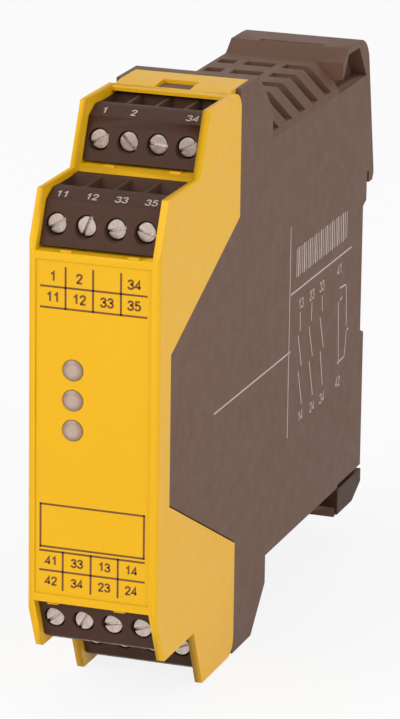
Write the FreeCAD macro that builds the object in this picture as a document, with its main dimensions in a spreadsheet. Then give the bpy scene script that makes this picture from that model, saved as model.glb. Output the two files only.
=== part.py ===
"""Safety relay module for a 35 mm rail, as a parametric FreeCAD document (millimetres).

The row stands as it is mounted: X runs across the module, -Y points at the person in front
of the cabinet, Z is up, and the origin is the middle of the rail, on the plane of its face.
Places along Y are given as a depth behind the front face and turned into Y by depth().
"""
import FreeCAD, Part
import math
import os
import re

import Sketcher

Vector = FreeCAD.Vector
os.makedirs("parts", exist_ok=True)

# ---------------------------------------------------------------- driving dimensions
SIZES = {
    # the whole module
    "pitch": 5.08,                # terminal spacing, which sets the module's width
    "side_allowance": 1.09,       # beside the outer terminals: 22.5 mm in all
    "seat_depth": 110.5,          # front face to the plane that rests on the rail
    "part_gap": 0.2,              # gap between shells that are snapped together
    # front cover
    "step_drop": 0.4,             # skirt lies this far below the tier above it
    "step_lead": 0.4,             # skirt's second step starts ahead of the riser
    "step_two_lean": 4.6,
    "skirt_drop": 0.3,            # skirt's top edge below the bridge's
    "window_top_drop": 1.9,       # side window's upper rear corner, from the face's edge
    "window_bottom_drop": 0.2,
    "bridge_reach": 4.7,          # bridge ahead of the skirt's rear edge
    "bridge_slope": 4.3,
    "bridge_tongue": 7.0,         # bridge behind the skirt's rear edge
    "bridge_gap": 0.5,            # between the bridge and the plug below it
    "latch_reach": 2.8,
    "latch_length": 4.8,
    "skirt_wall": 1.3,            # side wall of the cover
    "face_wall": 1.6,             # front wall of the cover
    "shelf_wall": 1.0,            # floors and risers of the terminal steps
    "face_half_height": 29.6,     # front face, up to the first terminal step
    "step_one_lean": 4.1,         # how far the skirt leans back over the first step
    "window_depth": 5.9,          # depth where the side window of the skirt begins
    "window_half_height": 12.8,   # side window, at its front edge
    "skirt_corner_radius": 3.0,
    "face_edge_radius": 1.0,
    "label_recess": 0.25,         # depth of the label field in the front face
    "label_margin": 1.35,         # frame left around the label field
    "bridge_wall": 1.1,
    "bridge_overlap": 0.05,       # bridge into the skirts
    "bridge_drop": 0.5,           # how far the front edge lies below the level part
    "latch_half_width": 3.1,      # window in the bridge
    "tab_height": 0.35,           # little ridges that hold each plug
    "tab_width": 1.9,
    "tab_depth": 0.8,
    "tab_setback": 0.1,           # ridges behind the shelf's front edge
    "tab_left": 4.8,
    "tab_right": 6.7,
    # terminal plugs
    "tier_rise": 9.6,             # second tier above the first
    "plug_lift": 0.5,             # underside of a plug above its shelf
    "plug_side_gap": 0.12,
    "plug_front": 1.7,            # depth of the plug's front face at its lower edge
    "plug_lean": 2.9,             # lean of the front face
    "plug_face_height": 6.9,
    "plug_label_run": 2.8,        # sloping label strip above the front face
    "plug_label_rise": 1.3,
    "screw_height": 3.7,          # screw axis above the shelf
    "screw_face": 3.8,            # depth of the screw's head
    "head_radius": 1.65,
    "head_length": 1.8,
    "head_gap": 0.2,
    "slot_width": 0.6,
    "slot_depth": 0.8,
    "shank_radius": 1.25,
    "shank_gap": 0.06,
    "shoulder_wall": 1.0,
    "cage_half_width": 1.75,
    "cage_half_height": 1.75,
    "cage_gap": 0.12,
    "cage_front_wall": 1.3,
    "cage_side_wall": 0.45,
    "cage_jaw": 0.9,
    "clamp_travel": 2.25,         # five turns of a 0.45 mm thread
    "bar_thickness": 0.7,
    "bar_half_width": 1.1,
    "strip_thickness": 0.6,
    "jaw_gap": 0.15,
    "pin_half_width": 0.5,
    "pin_gap": 0.08,
    "pin_reach": 2.6,             # how far a pin enters its plug
    "funnel_depth": 2.4,
    "wire_half_width": 1.45,
    "wire_run": 2.5,              # width of the wire channel, front to back
    "plug_gap": 0.4,              # behind a plug, in front of its riser
    "shank_length": 5.4,
    "bar_seat": 0.23,             # how far the bar reaches into the block above the cage
    "funnel_flare": 2.35,
    "funnel_side": 0.8,
    # headers, board and what it carries
    "header_low": 0.4,
    "header_high": 6.6,
    "header_wall": 0.8,
    "header_base": 2.0,
    "header_gap": 0.2,
    "header_side_gap": 0.1,
    "riser_depth": 19.0,          # front of the riser behind each shelf
    "tail_spacing": 1.5,
    "tail_gap": 0.4,              # pins' tails behind the header
    "board_thickness": 1.6,
    "board_face": -4.5,           # component side of the board
    "board_front": 9.4,
    "board_gap": 0.2,
    "board_hood_gap": 0.4,        # board's corner ahead of the hood
    "board_front_gap": 1.0,       # board's front corners inside the shelves
    "board_step_gap": 0.8,        # the same under the second shelves
    "board_tongue_rise": 5.3,     # tongues beside the rear rows, past the second shelves
    "board_rear_gap": 2.0,        # board's rear corners above the foot's channel
    "lens_radius": 1.75,
    "lens_gap": 0.05,
    "lens_proud": 0.35,
    "lens_flange": 2.3,
    "lens_flange_wall": 0.9,
    "lens_pitch": 5.05,
    "lens_middle": 5.1,
    "led_size": 2.0,
    "relay_length": 38.0,
    "relay_depth": 47.5,
    "relay_offset": 3.0,
    "transformer_depth": 52.0,
    "transformer_length": 32.0,
    "transformer_width": 17.0,
    "core_leg": 3.0,
    "core_window": 3.0,
    "core_yoke": 4.0,
    "winding_gap": 0.2,
    "winding_bulge": 1.0,
    "coil_headroom": 1.0,         # transformer and capacitor lower than the relays
    "capacitor_length": 22.0,
    "capacitor_height": 28.0,     # below the middle
    "capacitor_depth": 56.0,
    "chip_length": 9.0,
    "chip_width": 6.0,
    "chip_height": 1.6,
    "chip_depth": 28.0,
    "chip_spacing": 14.0,
    "header_length": 6.6,
    "board_clearance": 0.3,       # between a header and the board
    "board_tongue_width": 2.8,
    "case_gap": 0.6,              # between the relays and the housing's wall
    "relay_spacing": 3.0,         # between the upper relay and the transformer
    "roof_gap": 3.5,              # above the transformer
    # rear housing
    "side_step": 0.25,            # housing side lies this far inside the cover's skirt
    "lip_overlap": 4.0,           # how far the housing's lip reaches under the skirt
    "side_wall": 1.9,
    "shell_wall": 1.6,
    "lip_gap": 0.1,
    "lip_length": 6.0,            # lip behind the skirt's rear edge
    "ear_wall": 1.3,
    "ear_thickening": 0.8,        # more wall where the ear meets the roof
    "rear_half_height": 42.1,
    "hood_lean": 3.0,
    "hood_radius": 5.5,
    "hook_reach": 4.0,
    "rail_slot": 1.2,
    "seat_upper": 13.6,
    "seat_slope": 0.8,
    "seat_recess": 1.9,
    "seat_lower": 11.2,
    "hollow_depth": 3.0,
    "slot_row_width": 3.0,
    "web_width": 1.7,
    "web_left": 6.2,
    "web_right": 1.0,
    "groove_depth": 0.4,
    "groove_width": 1.2,
    "rail_half": 17.5,            # half of the 35 mm rail
    "hook_overlap": 0.9,          # hook and nose behind the rail's edges
    "nose_overlap": 0.8,
    "rail_gap": 0.2,              # foot below the rail's edge
    "hook_rise": 2.6,
    "hook_lean": 0.2,
    "hook_lip": 1.2,
    "hook_chamfer": 0.8,
    "slot_rise": 1.3,             # slot above the rail's edge, for tipping the module off
    "ear_rim": 2.7,
    "bevel_size": 5.0,
    "hood_length": 15.7,
    "hood_rise": 2.1,
    "hood_inset": 1.0,
    "hood_groove_inset": 3.5,
    "hood_web": 1.1,              # above the hollows in the hood's sides
    "hood_rim": 0.9,              # behind them
    "louvre_front_margin": 5.65,
    "louvre_rear_margin": 4.45,
    "louvre_edge": 0.8,
    "slot_overcut": 0.1,
    "guide_margin": 6.8,
    "board_rear_margin": 8.5,
    # rail foot
    "foot_tongue": 0.6,
    "foot_gap": 0.1,
    "foot_block": 4.9,
    "foot_slope_rise": 2.4,
    "nose_reach": 2.2,            # how far the nose stands behind the rail plane
    "nose_slope": 1.2,
    "nose_pocket": 1.15,
    "nose_lean": 0.2,
    "nose_height": 2.0,
    "foot_length": 13.5,
    "foot_plate": 5.0,            # plate ahead of the rail plane
    "foot_proud": 0.4,            # plate behind the rail plane
    "foot_drop": 0.3,             # foot below the housing's underside
    "foot_slope_inset": 0.4,
    "foot_shadow_gap": 0.9,
    "cheek_wall": 1.6,
    "tongue_gap": 1.1,
    "tongue_depth": 2.0,
    "spring_margin_low": 7.4,
    "spring_margin_high": 6.3,
    "latch_drop": 1.5,            # how deep the window cuts below the bridge's top
    "latch_top": 0.6,             # latch below the bridge's top
    "latch_wall": 0.75,
    "plug_floor": 0.1,
    "bar_gap": 0.05,
    "tongue_inset": 1.0,
    "spring_half_width": 5.0,
    "spring_slot": 0.9,
    "lens_pipe": 1.3,
    "relay_edge": 0.8,
}
# ---------------------------------------------------------------- what follows from them
DERIVED = {
    "half_width": "TERMINALS * pitch / 2 + side_allowance",
    "plug_height": "plug_lift + plug_face_height + plug_label_rise",
    "half_height": "face_half_height + tier_rise + plug_height + bridge_gap + bridge_wall",
    "inner_half": "half_width - side_step - side_wall",
    "step_one_height": "face_half_height + tier_rise - step_drop",
    "step_two_start": "riser_depth - step_lead",
    "step_two_end": "step_two_start + step_two_lean",
    "skirt_height": "half_height - skirt_drop",
    "skirt_depth": "2 * riser_depth + shelf_wall",
    "window_top": "face_half_height - window_top_drop",
    "window_bottom": "face_half_height - window_bottom_drop",
    "bridge_front": "skirt_depth - bridge_reach",
    "bridge_knee": "bridge_front + bridge_slope",
    "bridge_rear": "skirt_depth + bridge_tongue",
    "bridge_half_width": "half_width - skirt_wall + bridge_overlap",
    "latch_front": "skirt_depth - latch_reach",
    "latch_rear": "latch_front + latch_length",
    "plug_rear": "riser_depth - plug_gap",
    "screw_tip": "screw_face + head_length + shank_length",
    "bar_top": "screw_height + cage_half_height + cage_gap + bar_seat",
    "bar_rear": "screw_tip + bar_gap + bar_thickness",
    "funnel_half_width": "wire_half_width + funnel_side",
    "funnel_front": "bar_rear - funnel_flare",
    "funnel_rear": "bar_rear + wire_run + funnel_flare",
    "header_half_width": "inner_half - header_side_gap",
    "header_rear": "riser_depth + header_length",
    "ear_front": "skirt_depth + part_gap",
    "ear_depth": "bridge_rear + ear_rim",
    "ear_slope_end": "ear_depth + half_height - rear_half_height",
    "bevel_start": "half_width - side_step - bevel_size",
    "bevel_end": "rear_half_height - bevel_size",
    "hood_front": "seat_depth - hood_length",
    "hood_rear": "seat_depth - hood_inset",
    "hood_height": "rear_half_height + hood_rise",
    "hood_groove": "hood_front + hood_groove_inset",
    "hook_bottom": "rail_half - hook_overlap",
    "hook_corner": "hook_bottom + hook_rise",
    "rail_slot_top": "rail_half + slot_rise",
    "louvre_pitch": "(hood_front - louvre_rear_margin - ear_slope_end - louvre_front_margin) / LOUVRE_ROWS",
    "slot_end": "half_width - side_step - louvre_edge",
    "slot_floor": "bevel_end + bevel_size - slot_end + bevel_start - slot_overcut",
    "foot_front": "seat_depth - foot_length",
    "foot_plate_front": "seat_depth - foot_plate",
    "foot_plate_rear": "seat_depth + foot_proud",
    "foot_slope_start": "foot_plate_front + foot_slope_inset",
    "foot_bottom": "rear_half_height + foot_drop",
    "foot_top": "rail_half + rail_gap",
    "foot_half_width": "half_width - side_step - cheek_wall",
    "side_end": "foot_bottom - foot_block - foot_shadow_gap",
    "nose_top": "rail_half - nose_overlap",
    "tongue_front": "foot_plate_front + tongue_gap",
    "tongue_rear": "tongue_front + tongue_depth",
    "spring_low": "foot_bottom - spring_margin_low",
    "spring_high": "foot_top + spring_margin_high",
    "board_front_half": "face_half_height - shelf_wall - board_front_gap",
    "board_neck": "header_rear + board_clearance",
    "board_step_half": "face_half_height + tier_rise - shelf_wall - board_step_gap",
    "board_tongue": "board_neck + riser_depth",
    "board_tongue_half": "face_half_height + tier_rise + board_tongue_rise",
    "board_half_height": "rear_half_height - shell_wall - board_gap",
    "board_rear_half": "side_end - shell_wall - board_rear_gap",
    "board_rear": "hood_front - guide_margin",
    "board_back": "seat_depth - board_rear_margin",
    "lens_side": "board_face + led_size / 2",
    "relay_height": "inner_half - board_face - case_gap",
    "transformer_base": "rear_half_height - shell_wall - roof_gap - transformer_width",
    "relay_width": "transformer_base - relay_spacing - relay_offset",
    "core_thickness": "relay_height - coil_headroom - 2 * winding_bulge",
    "capacitor_radius": "(relay_height - coil_headroom) / 2",
}
TERMINALS = 4
LOUVRE_ROWS = 4
ALIAS = re.compile(r"\b(%s)\b" % "|".join(sorted([*SIZES, *DERIVED], key=len, reverse=True)))

doc = FreeCAD.newDocument("safety_relay")
sheet = doc.addObject("Spreadsheet::Sheet", "Sizes")
for row, (alias, content) in enumerate([*SIZES.items(), *DERIVED.items()], 1):
    if alias in DERIVED:
        counts = {"TERMINALS": TERMINALS, "LOUVRE_ROWS": LOUVRE_ROWS}
        content = "=" + re.sub("TERMINALS|LOUVRE_ROWS", lambda name: str(counts[name.group(0)]), content)
    sheet.set("A%d" % row, alias)
    sheet.set("B%d" % row, str(content))
    sheet.setAlias("B%d" % row, alias)
doc.recompute()

exported = []


# ---------------------------------------------------------------- helpers
def bound(text):
    """The expression with each size name pointed at the spreadsheet."""
    return ALIAS.sub(lambda name: "Sizes." + name.group(0), text)


def value(text):
    """The present value of an expression, in millimetres."""
    return float(sheet.evalExpression(bound(text)))


def depth(text):
    """Y of a place that lies the given depth behind the front face."""
    return "(-seat_depth + (%s))" % text


def flip(corners):
    """The same outline below the middle, for the lower half of the module."""
    return [(across, "-(%s)" % up) for across, up in corners]


def new_body(label):
    body = doc.addObject("PartDesign::Body", label)
    body.Label = label
    exported.append(body)
    return body


def new_sketch(body, plane, offset="0"):
    """An empty sketch parallel to one of the body's own origin planes."""
    sketch = body.newObject("Sketcher::SketchObject", body.Label + "_sketch")
    origin_plane = next(f for f in body.Origin.OriginFeatures if f.Role == plane)
    sketch.AttachmentSupport = [(origin_plane, "")]
    sketch.MapMode = "FlatFace"
    sketch.setExpression("AttachmentOffset.Base.z", bound(offset))
    return sketch


def place(sketch, line, end, across, up):
    """Ties a line's end point to its two expressions, measured from the sketch's origin."""
    point = Vector(value(across), value(up), 0)
    for kind, number, text in (("DistanceX", point.x, across), ("DistanceY", point.y, up)):
        index = sketch.addConstraint(Sketcher.Constraint(kind, -1, 1, line, end, number))
        sketch.setExpression("Constraints[%d]" % index, bound(text))


def draw(sketch, corners):
    """A closed outline of straight runs through the corners."""
    points = [Vector(value(across), value(up), 0) for across, up in corners]
    count = len(points)
    lines = [sketch.addGeometry(Part.LineSegment(points[i], points[(i + 1) % count]), False)
             for i in range(count)]
    for i in range(count):
        following = lines[(i + 1) % count]
        sketch.addConstraint(Sketcher.Constraint("Coincident", lines[i], 2, following, 1))
    for line, (across, up) in zip(lines, corners):
        place(sketch, line, 1, across, up)


def draw_circle(sketch, across, up, radius):
    centre = Vector(value(across), value(up), 0)
    circle = sketch.addGeometry(Part.Circle(centre, Vector(0, 0, 1), value(radius)), False)
    place(sketch, circle, 3, across, up)
    index = sketch.addConstraint(Sketcher.Constraint("Radius", circle, value(radius)))
    sketch.setExpression("Constraints[%d]" % index, bound(radius))


def draw_bore(sketch, across, up, radius):
    """A hidden round in twelve flats that just clear the radius, to spare faces."""
    reach = "(%s) / %.6f" % (radius, math.cos(math.pi / 12))
    draw(sketch, [("%s + %s * %.6f" % (across, reach, math.cos(math.pi * k / 6)),
                   "%s + %s * %.6f" % (up, reach, math.sin(math.pi * k / 6)))
                  for k in range(12)])


def feature(body, kind, sketch, length, along_normal):
    """A Pad or Pocket of the given length, on the sketch normal's side or the other."""
    made = body.newObject("PartDesign::" + kind, body.Label + "_" + kind.lower())
    made.Profile = sketch
    made.setExpression("Length", bound(length))
    made.Reversed = along_normal != (kind == "Pad")
    sketch.Visibility = False
    return made


def across_x(body, kind, start, end, *outlines):
    """Pads or pockets the YZ outlines from X = start to X = end."""
    sketch = new_sketch(body, "YZ_Plane", start)
    for corners in outlines:
        draw(sketch, corners)
    return feature(body, kind, sketch, "(%s) - (%s)" % (end, start), True)


def along_y(body, kind, start, end, *outlines):
    """Pads or pockets the XZ outlines from Y = start back to Y = end."""
    sketch = new_sketch(body, "XZ_Plane", "-(%s)" % start)
    for corners in outlines:
        draw(sketch, corners)
    return feature(body, kind, sketch, "(%s) - (%s)" % (end, start), False)


def along_z(body, kind, start, end, *outlines):
    """Pads or pockets the XY outlines from Z = start up to Z = end."""
    sketch = new_sketch(body, "XY_Plane", start)
    for corners in outlines:
        draw(sketch, corners)
    return feature(body, kind, sketch, "(%s) - (%s)" % (end, start), True)


def corners_of(left, right, low, high):
    return [(left, low), (right, low), (right, high), (left, high)]


def round_edges(body, radius, chosen):
    """Fillets the edges of the body's tip whose middle point and direction are chosen."""
    doc.recompute()
    names = []
    for number, edge in enumerate(body.Tip.Shape.Edges, 1):
        if not isinstance(edge.Curve, Part.Line):
            continue
        middle = edge.valueAt((edge.FirstParameter + edge.LastParameter) / 2)
        if chosen(middle, edge.Curve.Direction, edge.Length):
            names.append("Edge%d" % number)
    previous = body.Tip
    fillet = body.newObject("PartDesign::Fillet", body.Label + "_fillet")
    fillet.Base = (previous, names)
    fillet.setExpression("Radius", bound(radius))
    return fillet


def near(first, second, reach=0.05):
    return abs(first - second) < reach


def box(label, x_span, y_span, z_span):
    """A Part box between expressions for its ends along X, Y and Z."""
    made = doc.addObject("Part::Box", label)
    for axis, side, (low, high) in zip("xyz", ("Length", "Width", "Height"),
                                       (x_span, y_span, z_span)):
        made.setExpression("Placement.Base." + axis, bound(low))
        made.setExpression(side, bound("(%s) - (%s)" % (high, low)))
    return made


def group(label, members):
    """One node made of several separate solids."""
    made = doc.addObject("Part::Compound", label)
    made.Links = members
    made.Label = label
    exported.append(made)
    return made


def fused(label, members):
    made = doc.addObject("Part::MultiFuse", label)
    made.Shapes = members
    return made


def stand(node, across, back, up, turn=0.0, upside_down=False):
    """Places a node: base from expressions, turned about Y, or upside down for the lower half."""
    node.Placement = FreeCAD.Placement(
        Vector(0, 0, 0), FreeCAD.Rotation(Vector(0, 1, 0), turn + (180 if upside_down else 0)))
    for axis, text in zip("xyz", (across, back, up)):
        node.setExpression("Placement.Base." + axis, bound(text))


# ---------------------------------------------------------------- front cover
STEP_TOP = "(face_half_height + tier_rise)"
BRIDGE_UNDER = "(half_height - bridge_wall)"

cover = new_body("front_cover")
upper_side = [("0", "face_half_height"), ("step_one_lean", "step_one_height"),
              ("step_two_start", "step_one_height"), ("step_two_end", "skirt_height"),
              ("skirt_depth", "skirt_height")]
skirt = (upper_side
         + [("skirt_depth", "window_top"), ("window_depth", "window_half_height"),
            ("window_depth", "-window_half_height"), ("skirt_depth", "-window_bottom")]
         + flip(upper_side)[::-1])
across_x(cover, "Pad", "-half_width", "half_width", [(depth(a), b) for a, b in skirt])
round_edges(cover, "skirt_corner_radius", lambda middle, way, length:
            near(abs(way.x), 1) and near(middle.y, value(depth("skirt_depth")))
            and near(abs(middle.z), value("skirt_height")))
round_edges(cover, "face_edge_radius", lambda middle, way, length:
            near(abs(way.z), 1) and near(middle.y, value(depth("0"))))

inside = "(half_width - skirt_wall)"
plug_spaces = [(depth("-1"), "face_half_height"), (depth("riser_depth"), "face_half_height"),
               (depth("riser_depth"), STEP_TOP), (depth("2 * riser_depth"), STEP_TOP),
               (depth("2 * riser_depth"), "half_height + 1"), (depth("-1"), "half_height + 1")]
under_shelf = "(face_half_height - shelf_wall)"
under_step = "(face_half_height + tier_rise - shelf_wall)"
upper_hollow = [(depth("face_wall"), under_shelf),
                (depth("riser_depth + shelf_wall"), under_shelf),
                (depth("riser_depth + shelf_wall"), under_step),
                (depth("skirt_depth + 1"), under_step)]
across_x(cover, "Pocket", "-" + inside, inside, plug_spaces, flip(plug_spaces),
         upper_hollow + flip(upper_hollow)[::-1])

bridge = [(depth("bridge_front"), BRIDGE_UNDER),
          (depth("bridge_front"), "half_height - bridge_drop"),
          (depth("bridge_knee"), "half_height"), (depth("bridge_rear"), "half_height"),
          (depth("bridge_rear"), BRIDGE_UNDER)]
across_x(cover, "Pad", "-bridge_half_width", "bridge_half_width", bridge, flip(bridge))
for side, name in (("", "upper"), ("-", "lower")):
    ends = sorted([side + "(half_height + 1)", side + "(half_height - latch_drop)"], key=value)
    along_z(cover, "Pocket", ends[0], ends[1],
            corners_of("-latch_half_width", "latch_half_width",
                       depth("latch_front"), depth("latch_rear")))

# openings in the risers for the headers
openings = [corners_of("-(header_half_width + header_gap)", "header_half_width + header_gap",
                       "%s + header_low - header_gap" % base,
                       "%s + header_high + header_gap" % base)
            for base in ("face_half_height", STEP_TOP)]
for number, outline in enumerate(openings):
    start = depth("%d * riser_depth - 0.5 * header_gap" % (number + 1))
    end = depth("%d * riser_depth + shelf_wall + header_gap" % (number + 1))
    along_y(cover, "Pocket", start, end, outline, flip(outline))

# label field, holes for the three lenses
along_y(cover, "Pocket", depth("-1"), depth("label_recess"),
        corners_of("-(half_width - label_margin)", "half_width - label_margin",
                   "-(face_half_height - label_margin)", "face_half_height - label_margin"))
lens_holes = new_sketch(cover, "XZ_Plane", "-" + depth("0"))
for step in (-1, 0, 1):
    draw_circle(lens_holes, "lens_side", "lens_middle + %d * lens_pitch" % step,
                "lens_radius + lens_gap")
feature(cover, "Pocket", lens_holes, "face_wall + 1", False)

# ridges on the four shelves in front of the plugs
for base in ("face_half_height", STEP_TOP):
    back = "0" if base == "face_half_height" else "riser_depth"
    for side in ("", "-"):
        ridges = [corners_of("%s%s - tab_width / 2" % (sign, spot), "%s%s + tab_width / 2"
                             % (sign, spot), depth(back + " + tab_setback"),
                             depth(back + " + tab_setback + tab_depth"))
                  for sign, spot in ((("-", "tab_left"), ("", "tab_right")) if side == ""
                                       else (("", "tab_left"), ("-", "tab_right")))]
        ends = sorted([side + "(%s - shelf_wall / 2)" % base, side + "(%s + tab_height)" % base],
                      key=value)
        along_z(cover, "Pad", ends[0], ends[1], *ridges)

# ---------------------------------------------------------------- rear housing
OUTER = "(half_width - side_step)"
INNER = "inner_half"
housing = new_body("housing")
ear = [("ear_front", "half_height"), ("ear_depth", "half_height"),
       ("ear_slope_end", "rear_half_height")]
profile = ([("window_depth + part_gap", "-(window_half_height - part_gap)"),
            ("window_depth + part_gap", "window_half_height - part_gap"),
            ("ear_front", "window_top - part_gap")]
           + ear
           + [("hood_front", "rear_half_height"), ("hood_front + hood_lean", "hood_height"),
              ("hood_rear", "hood_height"),
              ("seat_depth + hook_reach - hook_lean", "hook_corner"),
              ("seat_depth + hook_reach", "hook_bottom + hook_lip"),
              ("seat_depth + hook_reach - hook_chamfer", "hook_bottom"),
              ("seat_depth + rail_slot", "hook_bottom"),
              ("seat_depth + rail_slot", "rail_slot_top"), ("seat_depth", "rail_slot_top"),
              ("seat_depth", "seat_upper"), ("seat_depth - seat_recess", "seat_upper - seat_slope"),
              ("seat_depth - seat_recess", "-(seat_lower - seat_slope)"),
              ("seat_depth", "-seat_lower"), ("seat_depth", "-side_end"),
              ("foot_front - part_gap", "-side_end"),
              ("foot_front - part_gap", "-rear_half_height")]
           + flip(ear)[::-1]
           + [("ear_front", "-(window_bottom - part_gap)")])
across_x(housing, "Pad", "-" + OUTER, OUTER, [(depth(a), b) for a, b in profile])
round_edges(housing, "hood_radius", lambda middle, way, length:
            near(abs(way.x), 1) and near(middle.y, value(depth("hood_rear")))
            and near(middle.z, value("hood_height")))

# lip that reaches under the cover's skirts
lip = [("window_depth - lip_overlap", "-(window_half_height + lip_overlap / 2)"),
       ("window_depth - lip_overlap", "window_half_height + lip_overlap / 2"),
       ("ear_front", "window_top + lip_overlap"), ("ear_front + lip_length", "window_top + lip_overlap"),
       ("ear_front + lip_length", "-(window_bottom + lip_overlap)"),
       ("ear_front", "-(window_bottom + lip_overlap)")]
lip_half = "(half_width - skirt_wall - lip_gap)"
across_x(housing, "Pad", "-" + lip_half, lip_half, [(depth(a), b) for a, b in lip])

# everything inside, open towards the cover
ROOF = "(rear_half_height - shell_wall)"
HOOD_FLOOR = "(bevel_end - shell_wall)"
EAR_ROOF = "(half_height - bridge_wall - part_gap - ear_wall)"
ear_room = [("0", "window_bottom + lip_overlap + 1"),
            ("ear_front", "window_bottom + lip_overlap + 1"), ("ear_front", EAR_ROOF),
            ("ear_depth - ear_wall", EAR_ROOF),
            ("ear_slope_end - ear_wall - ear_thickening", ROOF), ("hood_front - hood_lean", ROOF)]
room = (ear_room
        + [("hood_front - hood_lean", HOOD_FLOOR),
           ("seat_depth - seat_recess - shell_wall", HOOD_FLOOR),
           ("seat_depth - seat_recess - shell_wall", "-(foot_top - shell_wall)"),
           ("foot_plate_front - foot_gap - shell_wall", "-(foot_top - shell_wall)"),
           ("foot_plate_front - foot_gap - shell_wall", "-(side_end - shell_wall)"),
           ("hood_front - hood_lean", "-(side_end - shell_wall)")]
        + flip(ear_room)[::-1])
across_x(housing, "Pocket", "-" + INNER, INNER, [(depth(a), b) for a, b in room])

# seat for the tongue of the bridge, latch in its window, opening below the ear's front
for side in ("", "-"):
    ends = sorted([side + "(half_height + 1)", side + "(%s - part_gap)" % BRIDGE_UNDER], key=value)
    along_z(housing, "Pocket", ends[0], ends[1],
            corners_of("-(bridge_half_width + lip_gap)", "bridge_half_width + lip_gap",
                       depth("ear_front - 1"), depth("bridge_rear + lip_gap")))
    ends = sorted([side + "(half_height - latch_top)",
                   side + "(half_height - latch_top - latch_wall)"], key=value)
    along_z(housing, "Pad", ends[0], ends[1],
            corners_of("-(latch_half_width - part_gap)", "latch_half_width - part_gap",
                       depth("latch_front + part_gap"), depth("latch_rear - part_gap")))

# thicker shell under the two bevels, and the bevels themselves
for side in ("", "-"):
    strip = [("bevel_start - shell_wall / 2", "rear_half_height - shell_wall"),
             (INNER, "bevel_end - shell_wall / 2"),
             (INNER + " + side_wall / 2", "bevel_end - shell_wall / 2"),
             (INNER + " + side_wall / 2", "rear_half_height - shell_wall / 2"),
             ("bevel_start - shell_wall / 2", "rear_half_height - shell_wall / 2")]
    along_y(housing, "Pad", depth("ear_slope_end"), depth("hood_front"),
            [(a, side + "(" + b + ")") for a, b in strip])
    bevel = [("bevel_start", "rear_half_height"), (OUTER, "bevel_end"),
             (OUTER + " + 1", "bevel_end"), (OUTER + " + 1", "rear_half_height + 1"),
             ("bevel_start", "rear_half_height + 1")]
    along_y(housing, "Pocket", depth("ear_slope_end"), depth("hood_front"),
            [(a, side + "(" + b + ")") for a, b in bevel])

# louvres: four full rows and a short one on the bevel, top and bottom
for side in ("", "-"):
    cuts = []
    for row in range(-1, LOUVRE_ROWS):
        rear = "ear_slope_end + louvre_front_margin + %d * louvre_pitch" % (row + 1)
        spans = [("bevel_start + web_width / 4", "slot_end")]
        if row >= 0:
            spans = [("-slot_end", "-(web_left + web_width / 2)"),
                     ("-(web_left - web_width / 2)", "web_right - web_width / 2"),
                     ("web_right + web_width / 2", "slot_end")]
        cuts += [corners_of(left, right, depth(rear + " - slot_row_width"), depth(rear))
                 for left, right in spans]
    ends = sorted([side + "(half_height)", side + "slot_floor"], key=value)
    along_z(housing, "Pocket", ends[0], ends[1], *cuts)

# hollows in both sides below the hood and in front of the foot
upper_gap = [("hood_front - hood_lean / 2", "bevel_end"),
             ("hood_front + hood_lean", "hood_height - hood_web"),
             ("hood_rear - hood_radius", "hood_height - hood_web"),
             ("hood_rear - hood_rim", "bevel_end")]
lower_gap = [("hood_front - hood_lean / 2", "-bevel_end"), ("foot_front", "-bevel_end"),
             ("foot_front", "-(rear_half_height + 1)"),
             ("foot_front - foot_shadow_gap", "-(rear_half_height + 1)")]
for start, end in (("-" + OUTER, "-(%s - hollow_depth)" % OUTER),
                   ("(%s - hollow_depth)" % OUTER, OUTER)):
    across_x(housing, "Pocket", start, end, [(depth(a), b) for a, b in upper_gap],
             [(depth(a), b) for a, b in lower_gap])

# channel for the rail foot, with grooves in its cheeks
along_y(housing, "Pocket", depth("foot_plate_front - foot_gap"), depth("seat_depth + 1"),
        corners_of("-(foot_half_width + foot_gap)", "foot_half_width + foot_gap",
                   "-(side_end + 1)", "-(foot_top - foot_gap)"))
along_y(housing, "Pocket", depth("tongue_front - foot_gap"), depth("tongue_rear + foot_gap"),
        corners_of("-(foot_half_width + foot_tongue + foot_gap)",
                   "foot_half_width + foot_tongue + foot_gap",
                   "-(side_end + 1)", "-(foot_top + tongue_inset - foot_gap)"))

# grooves across the hood, guides for the board
along_z(housing, "Pocket", "hood_height - groove_depth", "hood_height + 1",
        corners_of("-bevel_start", "bevel_start", depth("hood_groove"),
                   depth("hood_groove + groove_width")))
for side in ("", "-"):
    guides = [corners_of("board_face + board_gap", "board_face + board_gap + 1",
                         side + ROOF, side + "(board_half_height - 1)"),
              corners_of("board_face - board_thickness - board_gap - 1",
                         "board_face - board_thickness - board_gap",
                         side + ROOF, side + "(board_half_height - 1)")]
    along_y(housing, "Pad", depth("ear_slope_end"), depth("board_rear"),
            *[[(a, b) for a, b in guide] for guide in guides])

# ---------------------------------------------------------------- rail foot
foot = new_body("rail_foot")
foot_side = [("foot_front", "-foot_bottom"), ("foot_slope_start", "-foot_bottom"),
             ("foot_plate_rear", "-(foot_bottom - foot_slope_rise)"),
             ("foot_plate_rear", "-(foot_top + nose_height + nose_slope)"),
             ("seat_depth + nose_reach", "-(foot_top + nose_height)"),
             ("seat_depth + nose_reach", "-(nose_top + nose_slope)"),
             ("seat_depth + nose_pocket + nose_lean", "-nose_top"),
             ("seat_depth + nose_pocket", "-nose_top"),
             ("seat_depth + nose_pocket", "-foot_top"), ("foot_plate_front", "-foot_top"),
             ("foot_plate_front", "-(foot_bottom - foot_block)"),
             ("foot_front", "-(foot_bottom - foot_block)")]
across_x(foot, "Pad", "-foot_half_width", "foot_half_width", [(depth(a), b) for a, b in foot_side])
block = [("foot_front", "-foot_bottom"), ("foot_slope_start", "-foot_bottom"),
         ("foot_plate_rear", "-(foot_bottom - foot_slope_rise)"),
         ("foot_plate_rear", "-(foot_bottom - foot_block)"),
         ("foot_front", "-(foot_bottom - foot_block)")]
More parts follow.
